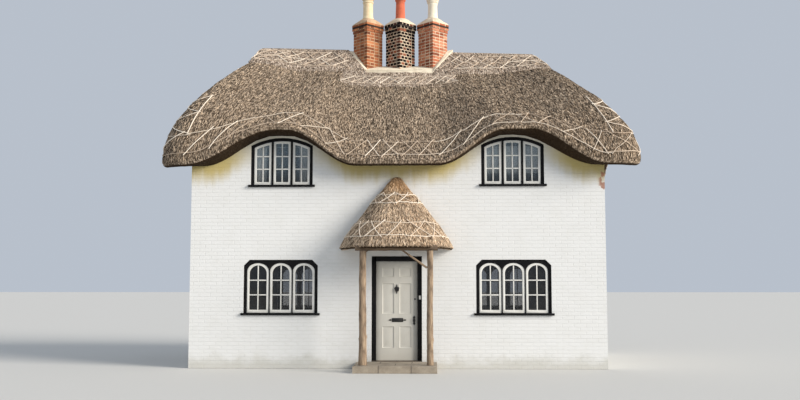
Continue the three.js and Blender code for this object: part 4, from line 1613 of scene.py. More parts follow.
        third = (last - first) / 3
        for height in levels:
            for start in np.linspace(first, last, 4)[:-1]:
                places = np.linspace(start + dice.uniform(0, 3), start + third + dice.uniform(-6, 1), 12)
                heights = 0 * places + height + dice.normal(0, 0.35) + 0.3 * np.sin(places * 0.3)
                rods.rod(self.surface.off(places, heights, 0.014), 0.008, dice.uniform(0.4, 1))
        start = first
        while start < last - 6:
            reach = dice.uniform(6, 11)
            ways = (levels, levels[::-1])
            for low, high in ways if dice.random() < 0.6 else ways[:1]:
                places = np.linspace(start - 1, min(start + reach + 1, last), 6)
                heights = np.linspace(low, high, 6) + dice.normal(0, 0.3)
                rods.rod(self.surface.off(places, heights, 0.018), 0.007, dice.uniform(0.3, 1))
            start += reach
        return piece, rods

    def cap(self) -> list[Piece]:
        """The layer wrapped over the ridge, cut round the chimney's mortar.

        Returns:
            The left and the right piece.
        """
        shares = np.linspace(self.saddle[0][0], 1, 22)
        aboves = np.interp(shares, *zip(*self.saddle))
        aboves[:2] = (0.012, 0.026)
        rows = [self.outer(1.0, -0.1), self.outer(shares[0], -0.06)]
        rows += [self.outer(share, above) for share, above in zip(shares, aboves)]
        points = np.array(rows)
        west = np.clip((-points[2:, :, 0] - 2.65) / 0.35, 0, 1)
        points[2:, :, 0] -= west * np.interp(shares, (0.8, 0.9, 1), (0.01, 0.075, 0.13))[:, None]
        edge = 0.018 * Wander.value(points_at(self.along, 0, 0), (0.16, 1, 1), 31)
        points[1:4, :, 2] += edge * [[1], [1], [0.6]]
        up = run_of(points)
        uv = np.stack([np.broadcast_to(self.along, up.shape), up], 2)
        surface = Surface.of(points, uv, ring=True)
        uneven = 0.01 * Wander.value(points, 0.4, 33) + 0.008 * Wander.value(points, 0.12, 35)
        uneven[:2] = 0
        uneven[-1] = 0
        surface.points = surface.raised(uneven)
        self.cap_surface = surface
        ring = np.concatenate([surface.points, surface.points[:, :1]], axis=1)
        seam = np.concatenate([uv, uv[:, :1] + [[[self.along[-1] + self.spacing, 0]]]], axis=1)
        whole = Bench.grid("ridge_layer", ring, seam)
        Bench.close(whole)
        Bench.outwards(whole)
        wide, narrow, deep = (size + 0.001 for size in self.apron)
        plan = [(-wide, 0), (-narrow, -deep), (narrow, -deep), (wide, 0), (narrow, deep), (-narrow, deep)]
        tool = Bench.prism("chimney_space", plan, 5.5, 8.0)
        y_and_z_swapped = Matrix(((1, 0, 0, 0), (0, 0, 1, 0), (0, 1, 0, 0), (0, 0, 0, 1)))
        tool.data.transform(y_and_z_swapped)
        Bench.outwards(tool)
        Bench.cut(whole, tool)
        halves = []
        for hand, side in (("left", 1), ("right", -1)):
            half = Bench.copy(whole, f"ridge_layer_{hand}", Matrix.Identity(4))
            Bench.edit(half)
            bpy.ops.mesh.bisect(plane_co=(0, 0, 0), plane_no=(side, 0, 0), use_fill=True, clear_outer=True)
            Bench.leave()
            Bench.smooth(half, 50)
            halves.append(half)
        bpy.data.objects.remove(whole)
        return halves

    def cap_rods(self) -> Batch:
        """The rods pinned along the ridge layer, front, back and round its ends.

        Returns:
            The rods.
        """
        dice = np.random.default_rng(23)
        batch = Batch()
        surface, total = self.cap_surface, len(self.kinds)
        last = surface.points.shape[0] - 1
        rows = (last * 0.28, last * 0.56, last * 0.86)
        for row in rows:
            start = 0.0
            while start < total:
                columns = np.arange(start, start + dice.uniform(30, 55), 3.0)
                points = surface.off(columns, 0 * columns + row + dice.normal(0, 0.15), 0.006)
                if np.all(self.clear(points)):
                    batch.rod(points, dice.uniform(0.008, 0.012), dice.uniform(0.3, 1))
                start = columns[-1] - 1
        for low, high in zip(rows, rows[1:]):
            start = 0.0
            while start < total:
                reach = dice.uniform(10, 14)
                for first, end in ((low, high), (high, low)):
                    columns = np.linspace(start, start + reach, 6)
                    points = surface.off(columns, np.linspace(first, end, 6), 0.014)
                    if np.all(self.clear(points)):
                        batch.rod(points, dice.uniform(0.006, 0.01), dice.uniform(0.3, 1))
                start += reach + dice.uniform(1, 5)
        return batch

    def build(self) -> None:
        """Builds and dresses the roof."""
        straw = self.finishes.thatch.on_slope()
        loose = self.finishes.thatch.loose()
        size = StrawSize(0.085, 0.0105, 0.1)
        rows = (self.eave_row - 1, self.ridge_row - 1)
        for side, name in enumerate(("front", "right", "back", "left")):
            slope = self.slope(side, f"straw_slope_{name}")
            dress(slope, straw, "thatch", "house", f"thatch_{name}")
            count = self.slope_straws[side % 2]
            straws = self.surface.straws(count, self.span(side), rows, size, 40 + side, self.clear)
            dress(straws.build(f"loose_straws_{name}"), loose, "thatch", "house")
        ridge = self.finishes.ridge.on_slope()
        fresh = self.finishes.ridge.loose()
        for part, hand in zip(self.cap(), ("left", "right")):
            dress(part, ridge, "ridge_thatch", "house", f"ridge_{hand}")
        last_row = self.cap_surface.points.shape[0] - 2
        short = StrawSize(0.06, 0.014, 0.12, 0.3)
        columns = (0, len(self.kinds))
        tufts = self.cap_surface.straws(self.ridge_straws, columns, (2, last_row), short, 47, self.clear)
        dress(tufts.build("ridge_straws"), fresh, "ridge_thatch", "house")
        hazel = self.finishes.hazel.loose()
        dress(self.rails().build("eave_rods"), hazel, "ridge_thatch", "house")
        dress(self.cap_rods().build("ridge_rods"), hazel, "ridge_thatch", "house")
        for side in (0, 2):
            piece, rods = self.skirt(side)
            dress(piece, ridge, "ridge_thatch", "house")
            dress(rods.build(f"skirt_rods_{side}"), hazel, "ridge_thatch", "house")


def dress(piece: Piece, finish: Material, slot: str, body: str, *nodes: str) -> None:
    """Gives a piece its finish and its body, and reports it.

    Args:
        piece: The piece.
        finish: Its material.
        slot: The record's slot that it takes its finish from; not used.
        body: The body that it moves with.
        nodes: The solids that it stands for.
    """
    piece.data.materials.clear()
    piece.data.materials.append(finish)
    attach(piece, body)
    if nodes:
        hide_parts(*nodes)
    log.info("%s: %d faces", piece.name, len(piece.data.polygons))


def coat(node: str, finish: Material) -> None:
    """Puts a finish on a solid that shows as it is.

    Args:
        node: The solid's name.
        finish: Its material.
    """
    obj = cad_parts[node]
    obj.data.materials.clear()
    obj.data.materials.append(finish)
    log.info("%s: coated", node)


# The chimney

POTS: dict[str, tuple[Span, ...]] = {
    "left": (
        (0.088, 0.0), (0.128, 0.0), (0.13, 0.02), (0.128, 0.042), (0.118, 0.055), (0.114, 0.1),
        (0.112, 0.25), (0.111, 0.38), (0.124, 0.39), (0.127, 0.4), (0.124, 0.41), (0.114, 0.42),
        (0.115, 0.45), (0.122, 0.462), (0.136, 0.47), (0.138, 0.485), (0.136, 0.5), (0.124, 0.509),
        (0.1, 0.508), (0.09, 0.49),
    ),
    "middle": (
        (0.088, 0.0), (0.118, 0.0), (0.119, 0.015), (0.117, 0.03), (0.11, 0.04), (0.107, 0.15),
        (0.103, 0.3), (0.1, 0.415), (0.108, 0.425), (0.118, 0.437), (0.122, 0.45), (0.121, 0.465),
        (0.115, 0.478), (0.1, 0.48), (0.091, 0.46),
    ),
    "right": (
        (0.088, 0.0), (0.122, 0.0), (0.123, 0.02), (0.121, 0.038), (0.113, 0.05), (0.109, 0.15),
        (0.105, 0.325), (0.112, 0.34), (0.113, 0.35), (0.108, 0.36), (0.114, 0.375), (0.127, 0.385),
        (0.129, 0.4), (0.127, 0.41), (0.133, 0.425), (0.142, 0.44), (0.143, 0.455), (0.14, 0.47),
        (0.128, 0.479), (0.1, 0.478), (0.091, 0.46),
    ),
}
"""Each pot's section as radius and height from the bottom of its outside, open at the bottom of its flue."""


@dataclass
class Chimney:
    """Three square stacks set diagonally, with their caps, pots and the mortar round their feet."""

    finishes: Finishes
    spacing: float = 0.742
    side: float = 0.472
    cap_side: float = 0.522
    course: float = 0.07
    foot: float = 6.35
    shaft: float = 7.45
    cap: float = 7.595
    mortar: float = 7.72
    joint: float = 0.014
    depth: float = 0.1
    inset: float = 0.006

    def template(self) -> tuple[Array, Array, Array]:
        """A brick with worn edges, as signs, insets and faces.

        Returns:
            The signs and insets as [vertex, axis], and the triangles.
        """
        block = Bench.box("brick", (-1, -1, -1), (1, 1, 1), 0)
        Bench.modify(block, "BEVEL", width=0.2, segments=1, limit_method="NONE")
        Bench.modify(block, "TRIANGULATE")
        places = np.array([v.co for v in block.data.vertices])
        faces = np.array([face.vertices[:] for face in block.data.polygons])
        bpy.data.objects.remove(block)
        return np.sign(places), (np.abs(places) < 0.99).astype(float), faces

    def bricks(self, name: str, x: float, bond: Bond, seed: int) -> Piece:
        """Lays one stack's bricks.

        Args:
            name: The object's name.
            x: The middle of the stack.
            bond: How its bricks are laid.
            seed: Which shades.

        Returns:
            The bricks.
        """
        dice = np.random.default_rng(seed)
        signs, insets, faces = self.template()
        batch = Batch()
        joint, deep = self.joint, self.depth
        count = math.ceil((self.shaft - self.foot) / self.course)
        courses = [(self.shaft - (count - i) * self.course, self.side) for i in range(count)]
        courses[-1] = (courses[-1][0], self.side + 0.02)
        courses += [(self.shaft, self.cap_side), ((self.shaft + self.cap) / 2, self.cap_side)]
        for row, (bottom, side) in enumerate(courses):
            run = side - deep - joint
            if bond is Bond.HEADERS:
                splits = (0.105, 0.21, 0.315) if row % 2 else (0.052, 0.157, 0.262)
            else:
                splits = (0.228,) if row % 2 else (0.112, 0.235)
            edges = [0.0, *[split for split in splits if split < run - 0.04], run + joint]
            for face in range(4):
                turn = math.radians(45 + 90 * face)
                along = np.array([math.cos(turn), math.sin(turn)])
                inward = np.array([-math.sin(turn), math.cos(turn)])
                for start, end in zip(edges, edges[1:]):
                    half = np.array([(end - start - joint) / 2, deep / 2, (self.course - joint) / 2])
                    local = signs * (half - insets * 0.005)
                    local[:, 1] += dice.normal(0, 0.0012)
                    middle = (start + end - joint) / 2 - side / 2
                    depth = -side / 2 + deep / 2 + local[:, 1]
                    flat = np.outer(middle + local[:, 0], along) + np.outer(depth, inward)
                    z = bottom + self.course / 2 + local[:, 2]
                    points = np.column_stack([flat[:, 0] + x, flat[:, 1], z])
                    shade = np.clip(dice.normal(0.5, 0.26), 0, 1)
                    if bond is Bond.HEADERS:
                        flared = dice.random() < 0.45 + 0.4 * row / len(courses)
                        shade = 0.05 if flared else dice.uniform(0.5, 1)
                    batch.add(points, faces, shade)
        return batch.build(name)

    def core(self, name: str, x: float) -> Piece:
        """The mortar that shows between a stack's bricks, and the slope of mortar on its top.

        Args:
            name: The object's name.
            x: The middle of the stack.

        Returns:
            The mortar.
        """
        half, cap = ((side / 2 - self.inset) * math.sqrt(2) for side in (self.side, self.cap_side))
        levels = [(half, self.foot - 0.02, 0.0), (half, self.shaft, 0.0), (cap, self.shaft + 0.004, 0.0)]
        levels += [(cap, self.cap + 0.004, 0.0), (cap - 0.012, self.cap + 0.012, 0.05)]
        for share in (0.2, 0.4, 0.6, 0.8, 1.0):
            reach = (cap - 0.012) * (1 - share) + 0.16 * share
            levels.append((reach, self.cap + 0.012 + (self.mortar - self.cap - 0.012) * share**0.85, share))
        angle = np.linspace(0, 2 * math.pi, 41)
        square = 1 / (np.abs(np.cos(angle)) + np.abs(np.sin(angle)))
        rows = []
        for reach, z, round_share in levels:
            ring = reach * (square * (1 - round_share) + round_share)
            rows.append(points_at(x + ring * np.cos(angle), ring * np.sin(angle), z))
        points = np.array(rows)
        points[-5:-1] += 0.007 * Wander.value(points[-5:-1], 0.09, 61)[..., None]
        points[:, -1] = points[:, 0]
        obj = Bench.grid(name, points)
        Bench.close(obj)
        Bench.outwards(obj)
        Bench.smooth(obj, 40)
        return obj

    def build(self) -> None:
        """Builds and dresses the chimney."""
        finishes = self.finishes
        pale = Mortar("stack_mortar", (0.8, 0.66, 0.48), (0.52, 0.42, 0.31)).make()
        warm = Mortar("left_mortar", (0.62, 0.42, 0.26), (0.4, 0.26, 0.16)).make()
        buff = Clay("buff_clay", (0.84, 0.7, 0.46), (0.72, 0.46, 0.25), 8.17)
        red = Clay("terracotta", (0.66, 0.15, 0.07), (0.42, 0.1, 0.05), 8.14)
        cream = Clay("cream_clay", (0.86, 0.78, 0.62), (0.7, 0.6, 0.42), 8.17)
        stacks = (
            ("left", finishes.orange, Bond.STRETCHERS, warm, buff, "buff_clay"),
            ("middle", finishes.flared, Bond.HEADERS, pale, red, "red_clay"),
            ("right", finishes.red, Bond.STRETCHERS, pale, cream, "buff_clay"),
        )
        for place, (hand, brick, bond, pointing, clay, slot) in enumerate(stacks):
            x = (place - 1) * self.spacing
            stack = self.bricks(f"{hand}_stack_bricks", x, bond, 70 + place)
            dress(stack, brick.make(), "brick", "house", f"stack_{hand}")
            dress(self.core(f"{hand}_stack_mortar", x), pointing, "mortar", "house")
            profile = [(radius, z + self.mortar) for radius, z in POTS[hand]]
            pot = Bench.turned(f"{hand}_pot", [*profile, profile[0]], (x, 0), 56, 0.004)
            Bench.smooth(pot, 45)
            dress(pot, clay.make(), slot, "house", f"pot_{hand}")
        coat("chimney_apron", Mortar("skirt_mortar", (0.88, 0.78, 0.6), (0.68, 0.58, 0.43)).make())
        coat("chimney_breast", Mortar("breast_plaster", (0.66, 0.63, 0.56), (0.5, 0.46, 0.4)).make())


# The walls and windows


@dataclass
class Walls:
    """The white brick walls and the two floors."""

    def build(self) -> None:
        """Dresses the solids that the walls and floors are."""
        paint = PaintedBrick()
        along = paint.make(True)
        for node in ("front_wall_left", "front_wall_right", "front_wall_over_door", "back_wall"):
            coat(node, along)
        across = paint.make(False)
        for node in ("left_wall", "right_wall"):
            coat(node, across)
        coat("ground_floor", Flags("lobby_paving").make())
        coat("upper_floor", Boards().make())


@dataclass
class Windows:
    """Twelve windows of three lights: a black frame, white casements with bars, and glass."""

    wall_x: float = 4.18
    wall_y: float = 2.25
    place_x: float = 2.34
    recess: float = 0.03
    depth: float = 0.1
    face: float = 0.064
    sill_height: float = 0.045
    set_back: float = 0.012
    leaf_depth: float = 0.05
    stile: float = 0.048
    bottom_rail: float = 0.062
    bar: float = 0.022
    rod_z: float = 4.475
    net_y: float = 0.165
    net_half: float = 0.62
    drawn_apart: float = 0.34
    net_length: float = 0.76
    short_net_length: float = 0.55
    arch_rise: float = 0.16
    clipped_corner: float = 0.115
    light_arch: float = 0.165

    def sizes(self, storey: Storey) -> tuple[float, float, float, float]:
        """A window's width, foot, crown and mullion."""
        return (1.265, 3.64, 4.65, 0.04) if storey is Storey.UPPER else (1.5, 1.055, 2.165, 0.02)

    def outline(self, storey: Storey, inset: float, steps: int = 28) -> list[Span]:
        """A frame's outline, drawn in by an inset.

        Args:
            storey: Which kind of window.
            inset: How far it is drawn in.
            steps: How many corners an arch takes.

        Returns:
            The corners, as x and z.
        """
        width, foot, crown, _ = self.sizes(storey)
        half = width / 2
        bottom = foot + (self.sill_height if inset > 0 else 0)
        if storey is Storey.LOWER:
            half, top, clip = half - inset, crown - inset, self.clipped_corner
            right = [(half, bottom), (half, top - clip), (half - clip, top)]
            return [(-half, bottom), *right, (clip - half, top), (-half, top - clip)]
        radius = (half * half + self.arch_rise**2) / (2 * self.arch_rise)
        inner = radius - inset
        reach = math.asin((half - inset) / inner)
        corners = [(inset - half, bottom), (half - inset, bottom)]
        for i in range(steps + 1):
            turn = reach - 2 * reach * i / steps
            corners.append((inner * math.sin(turn), crown - radius + inner * math.cos(turn)))
        return corners

    def light(
        self, storey: Storey, middle: float, width: float, inset: float, bottom: float, y: Span
    ) -> Piece:
        """The clear shape of one light, as a solid.

        Args:
            storey: Which kind of window.
            middle: The middle of the light.
            width: How wide the light is.
            inset: How far it is drawn in.
            bottom: Its foot.
            y: The front and the back.

        Returns:
            The solid.
        """
        half = width / 2 - inset
        _, _, crown, _ = self.sizes(storey)
        if storey is Storey.LOWER:
            top = crown - self.face - inset
            corners = [(middle - half, bottom), (middle + half, bottom)]
            for i in range(25):
                turn = math.pi * i / 24
                corners.append((middle + half * math.cos(turn), top - self.light_arch * (1 - math.sin(turn))))
            return Bench.prism("light", corners, *y)
        arch = Bench.prism("light", self.outline(storey, self.face + inset), *y)
        keep = Bench.box("keep", (middle - half, y[0] - 1, bottom), (middle + half, y[1] + 1, crown + 1), 0)
        return Bench.cut(arch, keep, operation="INTERSECT")

    def lights(self, storey: Storey) -> list[Span]:
        """Where a window's lights are.

        Args:
            storey: Which kind of window.

        Returns:
            The middle and width of each light.
        """
        width, _, _, mullion = self.sizes(storey)
        each = (width - 2 * self.face - 2 * mullion) / 3
        return [(place * (each + mullion), each) for place in (-1, 0, 1)]

    def frame(self, storey: Storey) -> Piece:
        """The black frame with its sill, in a wall whose face is y = 0.

        Args:
            storey: Which kind of window.

        Returns:
            The frame.
        """
        width, foot, _, _ = self.sizes(storey)
        bottom = foot + self.sill_height
        y = (self.recess, self.recess + self.depth)
        body = Bench.prism("frame", self.outline(storey, 0), *y)
        for middle, wide in self.lights(storey):
            Bench.cut(body, self.light(storey, middle, wide, 0, bottom, (y[0] - 0.01, y[1] + 0.01)))
        Bench.bevel(body, 0.005, 2)
        half, horn, play = width / 2, 0.048, 0.0005
        nose = Bench.box("sill", (-half - horn, -0.05, foot), (half + horn, -0.0003, bottom), 0.008)
        low, high = (-half + play, -0.002, foot + play), (half - play, y[1], bottom - play)
        inner = Bench.box("sill_back", low, high, 0.002)
        made = Bench.join("window_frame", [body, nose, inner])
        Bench.smooth(made)
        return made

    def casements(self, storey: Storey) -> Piece:
        """The three white casements with their bars.

        Args:
            storey: Which kind of window.

        Returns:
            The casements.
        """
        _, foot, crown, _ = self.sizes(storey)
        bottom = foot + self.sill_height
        front = self.recess + self.set_back
        back = front + self.leaf_depth
        parts = []
        thin = self.bar / 2
        low, top = bottom + self.bottom_rail, crown - self.face - self.stile
        y = (front + 0.008, back - 0.014)
        for middle, width in self.lights(storey):
            leaf = self.light(storey, middle, width, 0.002, bottom + 0.002, (front, back))
            hole = self.light(storey, middle, width, self.stile, low, (front - 0.01, back + 0.01))
            Bench.cut(leaf, hole)
            Bench.bevel(leaf, 0.004, 2)
            bars = [Bench.box("bar", (middle - thin, y[0], low - 0.01), (middle + thin, y[1], top + 0.02), 0)]
            left, right = middle - width / 2 + self.stile - 0.01, middle + width / 2 - self.stile + 0.01
            for share in (0.335, 0.665):
                z = low + (top - low) * share
                bars.append(Bench.box("bar", (left, y[0], z - thin), (right, y[1], z + thin), 0))
            shape = self.light(storey, middle, width, self.stile - 0.012, low - 0.012, (front, back))
            for bar in bars:
                twin = Bench.copy(shape, "shape", Matrix.Identity(4))
                Bench.cut(bar, twin, operation="INTERSECT")
                Bench.bevel(bar, 0.003, 2)
            bpy.data.objects.remove(shape)
            parts += [leaf, *bars]
        made = Bench.join("casements", parts)
        Bench.smooth(made)
        return made

    def glass(self, storey: Storey) -> Piece:
        """The glass of the three casements.

        Args:
            storey: Which kind of window.

        Returns:
            The panes.
        """
        _, foot, _, _ = self.sizes(storey)
        front = self.recess + self.set_back + self.leaf_depth * 0.45
        low, y = foot + self.sill_height + self.bottom_rail - 0.01, (front, front + 0.004)
        panes = [self.light(storey, *light, self.stile - 0.008, low, y) for light in self.lights(storey)]
        return Bench.join("panes", panes)

    def net(self, name: str, start: float, end: float, length: float) -> Piece:
        """A net gathered in folds that hangs from the rod, in a wall whose face is y = 0.

        Args:
            name: The object's name.
            start: Its left edge.
            end: Its right edge.
            length: How far it hangs down.

        Returns:
            The net, whose map is in metres of cloth.
        """
        x = np.linspace(start, end, max(30, int((end - start) * 210)))
        drop = np.linspace(0, length, 22)
        wave = 0.004 * np.sin(x * 105 + 1.3 * np.sin(x * 11)) + 0.003 * np.sin(x * 41 + 2)
        stretch = np.concatenate([[0], np.cumsum(np.hypot(np.diff(x), np.diff(wave)))])
        points = np.array([points_at(x, self.net_y + wave * (1 + 0.2 * d), self.rod_z - d) for d in drop])
        maps = np.array([np.stack([stretch, 0 * x + length - d], 1) for d in drop])
        return Bench.grid(name, points, maps)

    def curtains(self, side: Side, x: float, parted: bool, cloth: Material, rod: Material) -> None:
        """The nets behind one upper window, on a thin rod across the reveal.

        Args:
            side: The side that the window is on.
            x: The window's place along the wall.
            parted: Whether they are drawn apart.
            cloth: The nets' finish.
            rod: The rod's finish.
        """
        place = self.turn(side, x)
        hand = "left" if x < 0 else "right" if x > 0 else "middle"
        where = f"{side.name.lower()}_{hand}"
        bar = Batch()
        line = np.linspace(-0.632, 0.632, 12)
        bar.rod(points_at(line, self.net_y, self.rod_z), 0.006, 0.5, sides=10)
        piece = bar.build(f"net_rod_{where}")
        piece.data.transform(place)
        Bench.smooth(piece, 60)
        dress(piece, rod, "white_paint", "house")
        far, near = self.net_half, self.drawn_apart
        spans = [(-far, -near), (near, far)] if parted else [(-far, far)]
        length = self.short_net_length if side is Side.FRONT and not parted else self.net_length
        for number, (start, end) in enumerate(spans):
            net = self.net(f"net_{where}_{number}", start, end, length)
            area = sum(face.area for face in net.data.polygons)
            net.data.transform(place)
            Bench.smooth(net, 180)
            dress(net, cloth, "white_paint", "house")
            area / length

    def turn(self, side: Side, x: float) -> Matrix:
        """Where a window goes, from a wall whose face is y = 0 and whose middle is x = 0."""
        out = self.wall_y if side in (Side.FRONT, Side.BACK) else self.wall_x
        return Matrix.Rotation(math.radians(side.value), 4, "Z") @ Matrix.Translation((x, -out, 0))

    def build(self) -> None:
        """Builds each kind of window once and copies it to its places."""
        black = Gloss("black_gloss", (0.006, 0.006, 0.007), (0.05, 0.045, 0.035), 0.4, 0.15, 0.12).make()
        white = Gloss("white_gloss", (0.8, 0.79, 0.74), (0.5, 0.47, 0.38), 0.42, 0.3).make()
        glass = Pane().make()
        spots = [(side, x) for side in (Side.FRONT, Side.BACK) for x in (-self.place_x, self.place_x)]
        spots += [(Side.LEFT, 0.0), (Side.RIGHT, 0.0)]
        for storey in Storey:
            masters = (self.frame(storey), self.casements(storey), self.glass(storey))
            for side, x in spots:
                hand = "" if x == 0 else "_left" if x < 0 else "_right"
                where = f"{side.name.lower()}_{storey.value}{hand}"
                place = self.turn(side, x)
                copies = [Bench.copy(master, f"{master.name}_{where}", place) for master in masters]
                frame_piece, leaves, panes = copies
                dress(frame_piece, black, "black_paint", "house", f"window_{where}")
                dress(leaves, white, "white_paint", "house")
                dress(panes, glass, "glass", "house", f"glass_{where}")
            for master in masters:
                bpy.data.objects.remove(master)
        cloth = Net().make()
        for side, x in spots:
            self.curtains(side, x, side is Side.FRONT and x < 0, cloth, white)


# The porch


@dataclass
class Porch:
    """A half cone of thatch on two log posts, with its poles, brace and step."""

    finishes: Finishes
    wall_y: float = -2.25
    post_y: float = -3.08
    left_x: float = -0.622
    right_x: float = 0.668
    pole_z: float = 2.368
    post_z: Span = (0.1402, 2.318)
    brace_z: Span = (1.947, 2.338)
    brace_run: float = 0.548
    step_half: float = 0.8
    step_front: float = -3.29
    step_top: float = 0.14
    columns: int = 150
    straws: int = 11000
    outline: tuple[Span, ...] = (
        (1.105, 2.355), (1.122, 2.37), (1.13, 2.39), (1.13, 2.42), (1.09, 2.5), (1.04, 2.585),
        (0.95, 2.716), (0.857, 2.846), (0.75, 2.987), (0.64, 3.128), (0.51, 3.289), (0.38, 3.45),
        (0.265, 3.59), (0.165, 3.715), (0.11, 3.775), (0.08, 3.808), (0.04, 3.828), (0.0, 3.835),
    )
    left_radii: tuple[float, ...] = (0.084, 0.076, 0.068, 0.074, 0.064, 0.07, 0.066, 0.068)
    right_radii: tuple[float, ...] = (0.066, 0.06, 0.062, 0.057, 0.058, 0.056, 0.06)

    def cone(self) -> Surface:
        """The outer face of the porch's straw, from wall to wall.

        Returns:
            The surface.
        """
        radii, heights = zip(*self.outline)
        steps = np.concatenate([[0], np.cumsum(np.hypot(np.diff(radii), np.diff(heights)))])
        fine = np.linspace(0, steps[-1], 90)
        radius, height = np.interp(fine, steps, radii), np.interp(fine, steps, heights)
        angle = np.linspace(math.pi, 2 * math.pi, self.columns)
        x = radius[:, None] * np.cos(angle)
        y = self.wall_y + np.minimum(radius[:, None] * np.sin(angle), -0.0005)
        points = np.stack([x, y, height[:, None] + 0 * x], 2)
        uv = np.stack([angle[None, :] * 1.0 + 0 * x, fine[:, None] + 0 * x], 2)
        surface = Surface.of(points, uv, ring=False)
        mapped = np.stack([uv[..., 0], uv[..., 1], 0 * x], 2)
        uneven = 0.011 * Wander.value(points, 0.3, 81) + 0.005 * Wander.value(mapped, (0.06, 0.2, 1), 83)
        uneven *= np.interp(fine, [0, 0.05, fine[-1] - 0.2, fine[-1]], [0.5, 1, 1, 0])[:, None]
        surface.points = surface.raised(uneven - 0.004)
        surface.points[:, :, 1] = np.minimum(surface.points[:, :, 1], self.wall_y - 0.0005)
        surface.points[:, [0, -1], 1] = self.wall_y - 0.0005
        return surface

    def thatch(self, surface: Surface) -> Piece:
        """The porch's straw as a closed piece.

        Args:
            surface: Its outer face.

        Returns:
            The piece.
        """
        angle = np.linspace(math.pi, 2 * math.pi, surface.points.shape[1])
        inner = []
        for radius, z in ((0.0, 3.49), (0.45, 2.965), (0.9, 2.445), (1.0, 2.362)):
            y = self.wall_y + np.minimum(radius * np.sin(angle), -0.0005)
            inner.append(points_at(radius * np.cos(angle), y, z))
        points = np.concatenate([surface.points, np.array(inner), surface.points[:1]])
        along = np.repeat(surface.uv[-1:, :, :1], 5, 0)
        up = surface.uv[-1:, :, 1:] + np.arange(1, 6)[:, None, None] * 0.5
        uv = np.concatenate([surface.uv, np.concatenate([along, up], 2)])
        obj = Bench.grid("porch_straw", points, uv)
        Bench.close(obj)
        Bench.smooth(obj, 60)
        return obj

    def rods(self, surface: Surface) -> Batch:
        """The hazel rods pinned round the porch's straw.

        Args:
            surface: Its outer face.

        Returns:
            The rods.
        """
        dice = np.random.default_rng(91)
        batch = Batch()
        heights = surface.points[:, self.columns // 2, 2]
        rows, last_column = np.arange(len(heights)), self.columns - 2

        def path(columns: Array, z: Array, lift: float) -> Array:
            """Places at heights on the straw.

            Args:
                columns: Column numbers, with fractions.
                z: The heights.
                lift: How far they stand off.

            Returns:
                Places as [point, axis], none of them in the wall.
            """
            points = surface.off(columns, np.interp(z, heights, rows), lift)
            points[:, 1] = np.minimum(points[:, 1], self.wall_y - 0.012)
            return points

        bands = ((2.6, 2.86, 7), (3.27, 3.44, 4))
        for z in (height for band in bands for height in band[:2]):
            columns = np.linspace(1, last_column, 50)
            wave = 0.01 * np.sin(columns * 0.12 + z * 7) + 0.005 * np.sin(columns * 0.41)
            batch.rod(path(columns, z + wave, 0.01), dice.uniform(0.0065, 0.0085), dice.uniform(0.5, 1))
        around = self.columns - 5
        for low, high, count in bands:
            for i in range(count):
                start = 2 + around * i / count + dice.uniform(0, 5)
                end = min(2 + around * (i + 1) / count + dice.uniform(-5, 5), last_column)
                for first, last in ((low - 0.03, high + 0.03), (high + 0.03, low - 0.03)):
                    columns = np.linspace(start, end, 7)
                    z = np.linspace(first, last, 7) + dice.normal(0, 0.01)
                    if dice.random() < 0.85:
                        batch.rod(path(columns, z, 0.018), dice.uniform(0.0065, 0.009), dice.uniform(0.5, 1))
        return batch

    def log(self, name: str, path: Array, radii: Array, seed: int, knots: int) -> Piece:
        """A natural pole with knots, closed at both ends.

        Args:
            name: The object's name.
            path: The places its middle goes through, as [point, axis].
            radii: Its radius at each place.
            seed: Which knots and waves.
            knots: How many knots.

        Returns:
            The pole.
        """
        dice = np.random.default_rng(seed)
        along = np.gradient(path, axis=0)
        along /= np.linalg.norm(along, axis=1, keepdims=True)
        helper = (0.0, 1.0, 0.0) if abs(along[0, 1]) < 0.9 else (0.0, 0.0, 1.0)
        across = np.cross(along, helper)
        across /= np.linalg.norm(across, axis=1, keepdims=True)
        other = np.cross(along, across)
        steps = run_of(path)
        angle = np.linspace(0, 2 * math.pi, 37)
        swell = np.zeros((len(path), len(angle)))
        for _ in range(knots):
            turn, spot = dice.uniform(0, 2 * math.pi), dice.uniform(0.1, 0.95) * steps[-1]
            size = dice.uniform(0.03, 0.06)
            gap = np.abs((angle - turn + math.pi) % (2 * math.pi) - math.pi)
            swell += 0.2 * np.exp(-((steps[:, None] - spot) ** 2) / size**2 - gap[None] ** 2 / 0.16)
        ring = across[:, None] * np.cos(angle)[None, :, None] + other[:, None] * np.sin(angle)[None, :, None]
        bark = path[:, None] + ring * 0.12
        rough = Wander.value(bark, 0.05, seed) * 0.03 + Wander.value(bark, 0.2, seed + 1) * 0.04
        reach = radii[:, None] * (1 + swell + rough)
        reach[:, -1] = reach[:, 0]
        skin = path[:, None] + ring * reach[..., None]
        foot, head = (np.repeat(end[:, None], len(angle), 1) for end in (path[:1], path[-1:]))
        points = np.concatenate([foot, skin, head])
        v = np.concatenate([[-0.05], steps, [steps[-1] + 0.05]])
        uv = np.stack(np.meshgrid(angle * float(np.mean(radii)), v), 2)
        obj = Bench.grid(name, points, uv)
        Bench.outwards(obj)
        Bench.smooth(obj, 50)
        return obj

    def post(self, name: str, x: float, widths: Sequence[float], seed: int) -> Piece:
        """A post on the step.

        Args:
            name: The object's name.
            x: Where it stands.
            widths: Its radius at even steps from the foot.
            seed: Which knots.

        Returns:
            The post.
        """
        z = np.linspace(*self.post_z, 80)
        radii = np.interp(z, np.linspace(z[0], z[-1], len(widths)), widths)
        sway = 0.004 * np.sin(z * 3 + seed)
        path = points_at(x + sway, self.post_y + 0.5 * sway, z)
        return self.log(name, path, radii, seed, 7)

